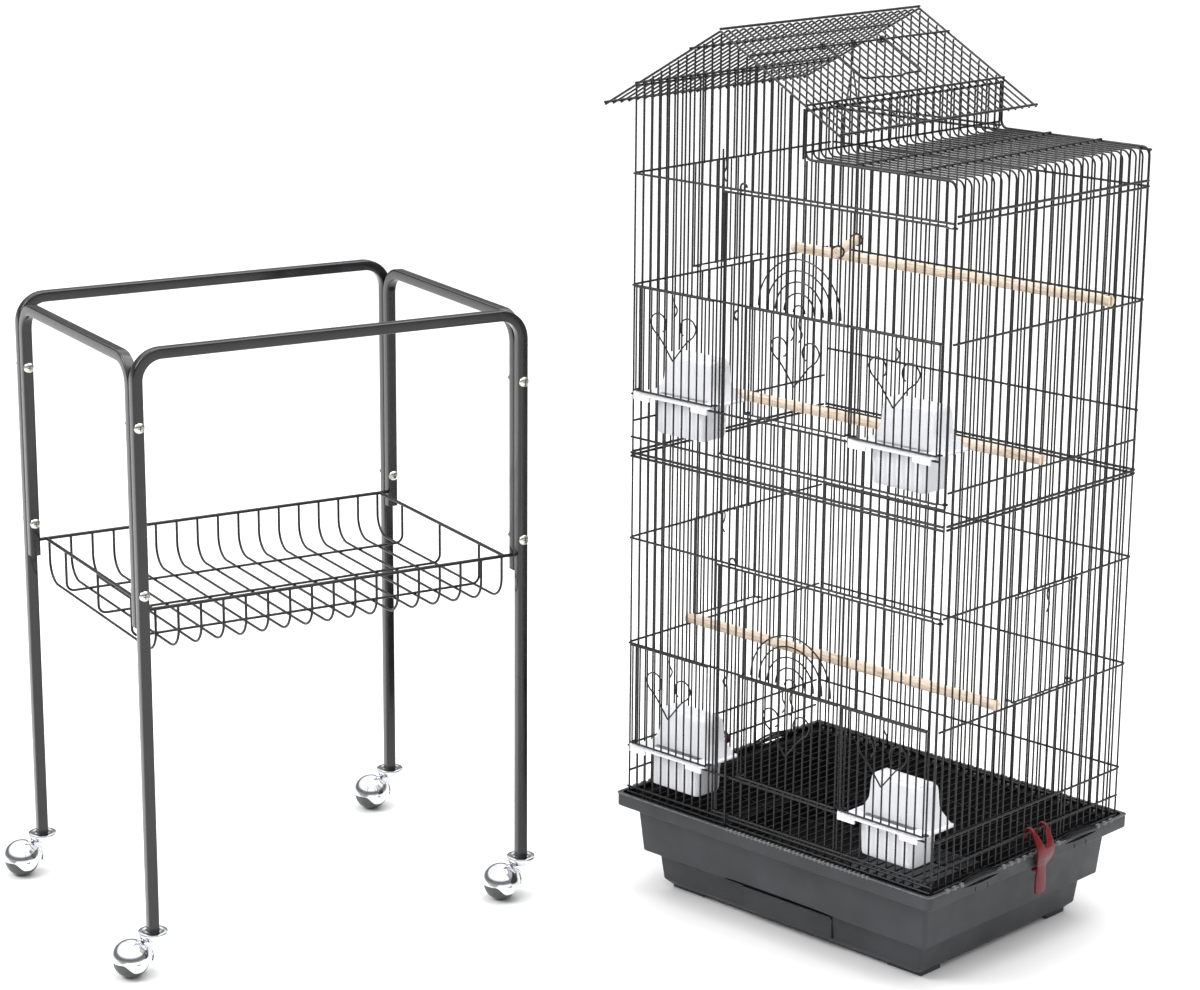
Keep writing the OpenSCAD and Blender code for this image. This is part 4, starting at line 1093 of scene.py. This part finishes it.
# ---------------------------------------------------------------- casters
TRAIL, BALL_R = 26.0, 20.0  # how far a ball stands behind its stem, and its radius
HOOD_OUT, HOOD_IN = BALL_R + 2.5, BALL_R + 0.9
POLE = math.pi / 2 - 0.02  # height angle of the hood's first ring
AXLE = (-TRAIL, 0, BALL_R)
COLLAR = [(3.4, 39.0), (12.6, 39.0), (13.8, 39.4), (14.6, 40.6), (16.0, 44.2), (16.5, 45.6), (16.5, 46.9),
          (16.0, 47.7), (15.0, 48.0), (11.0, 48.0), (9.6, 47.6), (8.6, 47.8), (4.9, 47.9), (4.9, 70),
          (3.4, 70)]
NECK = spline([(7, 0, 37.6), (0, 0, 37.7), (-6, 0, 38.0), (-10.4, 0, 37.2), (-10.0, 0, 35.0), (-6.2, 0, 32.2),
               (-3.0, 0, 28.6), (-1.4, 0, 24), (-1.0, 0, 19.5), (-2.2, 0, 14.5)], 4)
CORNERS = [(-SL, -SW), (-SL, SW), (SL, -SW), (SL, SW)]  # of casters 1 to 4


def at_corner(x, y):
    return lambda p: on_stand((x + p[0], y + p[1], p[2]))


s = Shape()
for x, y in CORNERS:
    s.at = at_corner(x, y)
    turns = [(math.cos(math.tau * q / 40), math.sin(math.tau * q / 40)) for q in range(40)]
    s.loft([[(r * c, r * si, h) for c, si in turns] for r, h in COLLAR], loop=True)
piece(s, "caster_collars", "caster_mounts", [CHROME])


def hood_edge(a):
    """The height angle of the hood's edge: it comes further down beside the axle."""
    f = (44 - math.degrees(math.acos(min(abs(math.sin(a)), 1)))) / 36
    f = min(max(f, 0), 1)
    return math.radians(3 - 25 * f * f * (3 - 2 * f))


def hood_ring(r, f):
    """A ring of the hood at radius r, the part f of the way from its top to its edge."""
    out = []
    for q in range(96):
        a = math.tau * q / 96
        e = POLE - (POLE - hood_edge(a)) * f
        out.append((-TRAIL + r * math.cos(e) * math.cos(a), r * math.cos(e) * math.sin(a),
                    BALL_R + r * math.sin(e)))
    return out


def hood(at):
    s = Shape(at)
    down = [q / 14 for q in range(14)]
    rings = [(HOOD_OUT, f) for f in down]
    rings += [(HOOD_OUT + 0.25, 0.985), (HOOD_OUT + 0.3, 1.0), (HOOD_OUT - 0.6, 1.012), (HOOD_IN, 1.0)]
    rings += [(HOOD_IN, f) for f in down[::-1]]
    s.loft([hood_ring(r, f) for r, f in rings])
    # axle with its rivet heads, neck and stem
    s.lathe([(0.01, -23.2), (1.6, -23.1), (2.6, -22.4), (2.6, 22.4), (1.6, 23.1), (0.01, 23.2)],
            24, "y", AXLE)
    s.sweep(NECK, rounded(6.4, 1.5, 1.2, 3), up=(0, 0, 1),
            radii=[1.0 - 0.25 * q / len(NECK) for q in range(len(NECK))])
    s.lathe([(2.4, 36), (3.2, 36.8), (3.2, 72.6), (2.4, 73.6)], 24)
    return s


def ball(at):
    """Two halves with a groove between them and a bore for the axle."""
    s = Shape(at)
    angles = [math.radians(8 + (90 - 8 - 3) * q / 24) for q in range(25)]
    half = [(2.7, -18.6), (2.8, -19.6)] + [(BALL_R * math.sin(a), -BALL_R * math.cos(a)) for a in angles]
    half += [(19.3, -0.5)]
    s.lathe(half + [(r, -h) for r, h in half[::-1]], 64, "y", AXLE)
    return s


for k, (x, y) in enumerate(CORNERS, 1):
    at = at_corner(x, y)
    piece(hood(at), "caster_hood_%d_shell" % k, "caster_hood_%d" % k, [CHROME], 45)
    piece(ball(at), "caster_ball_%d_halves" % k, "caster_ball_%d" % k, [BALL], 30)

# ---------------------------------------------------------------- carried-over CAD nodes
for node, m in (("hinge_posts", BLACK), ("perches", BEECH)):
    materials = frame["nodes"][node].data.materials
    materials.clear()
    materials.append(m)

# ---------------------------------------------------------------- stage, light and camera
scene = bpy.context.scene
# Brightness of the room, from the horizon to overhead
BRIGHTNESS = ((0.0, 0.30), (0.16, 0.10), (0.36, 0.12), (0.46, 0.62), (1.0, 1.0))
me = bpy.data.meshes.new("floor")
me.from_pydata([(x * 18, y * 18, 0) for x, y in ((-1, -1), (1, -1), (1, 1), (-1, 1))], [], [(0, 1, 2, 3)])
floor = bpy.data.objects.new("floor", me)
scene.collection.objects.link(floor)
me.materials.append(material("floor_white", (0.86, 0.86, 0.86), 0.75, vary=0.01, scale=3, grain=200,
                             bump=0.0))

world = bpy.data.worlds.new("studio")
scene.world = world
world.use_nodes = True
wt = world.node_tree
tc, sep = wt.nodes.new("ShaderNodeTexCoord"), wt.nodes.new("ShaderNodeSeparateXYZ")
sky, bg = wt.nodes.new("ShaderNodeValToRGB"), wt.nodes["Background"]
e = sky.color_ramp.elements
while len(e) < len(BRIGHTNESS):
    e.new(0.5)
for k, (height, g) in enumerate(BRIGHTNESS):
    e[k].position = height
    e[k].color = (g, g, g, 1)
wt.links.new(tc.outputs["Generated"], sep.inputs[0])
wt.links.new(sep.outputs["Z"], sky.inputs["Fac"])
wt.links.new(sky.outputs["Color"], bg.inputs["Color"])
bg.inputs["Strength"].default_value = 2.0


def area(name, where, target, side, power):
    l = bpy.data.lights.new(name, "AREA")
    l.shape, l.size, l.size_y, l.energy = "RECTANGLE", side, side, power
    o = bpy.data.objects.new(name, l)
    o.location = where
    o.rotation_euler = (Vector(target) - Vector(where)).to_track_quat("-Z", "Y").to_euler()
    scene.collection.objects.link(o)


area("key", (-1.6, -2.6, 2.9), (0.1, 0.1, 0.4), 1.6, 85)
area("top", (0.3, 0.6, 3.4), (0.1, 0.1, 0.3), 2.6, 60)

# The camera was fitted to the photo, which is 1200 pixels wide: its focal length in pixels, directions
# and place
camera = bpy.data.cameras.new("camera")
camera.sensor_width = 36.0
camera.lens = 3130.87 / 1200 * camera.sensor_width
camera.clip_end = 100
cam = bpy.data.objects.new("camera", camera)
fwd = Vector((-0.67098643, 0.69524059, -0.25771638))
rgt = Vector((0.71815962, 0.69583934, 0.00737394))
upv = Vector((-0.18445586, 0.18013369, 0.96619247))
cam.matrix_world = Matrix.Translation(row((2114.13, -2638.34, 1376.81))) @ Matrix(
    [(rgt.x, upv.x, -fwd.x), (rgt.y, upv.y, -fwd.y), (rgt.z, upv.z, -fwd.z)]).to_4x4()
scene.collection.objects.link(cam)
scene.camera = cam
scene.view_settings.view_transform = "Standard"
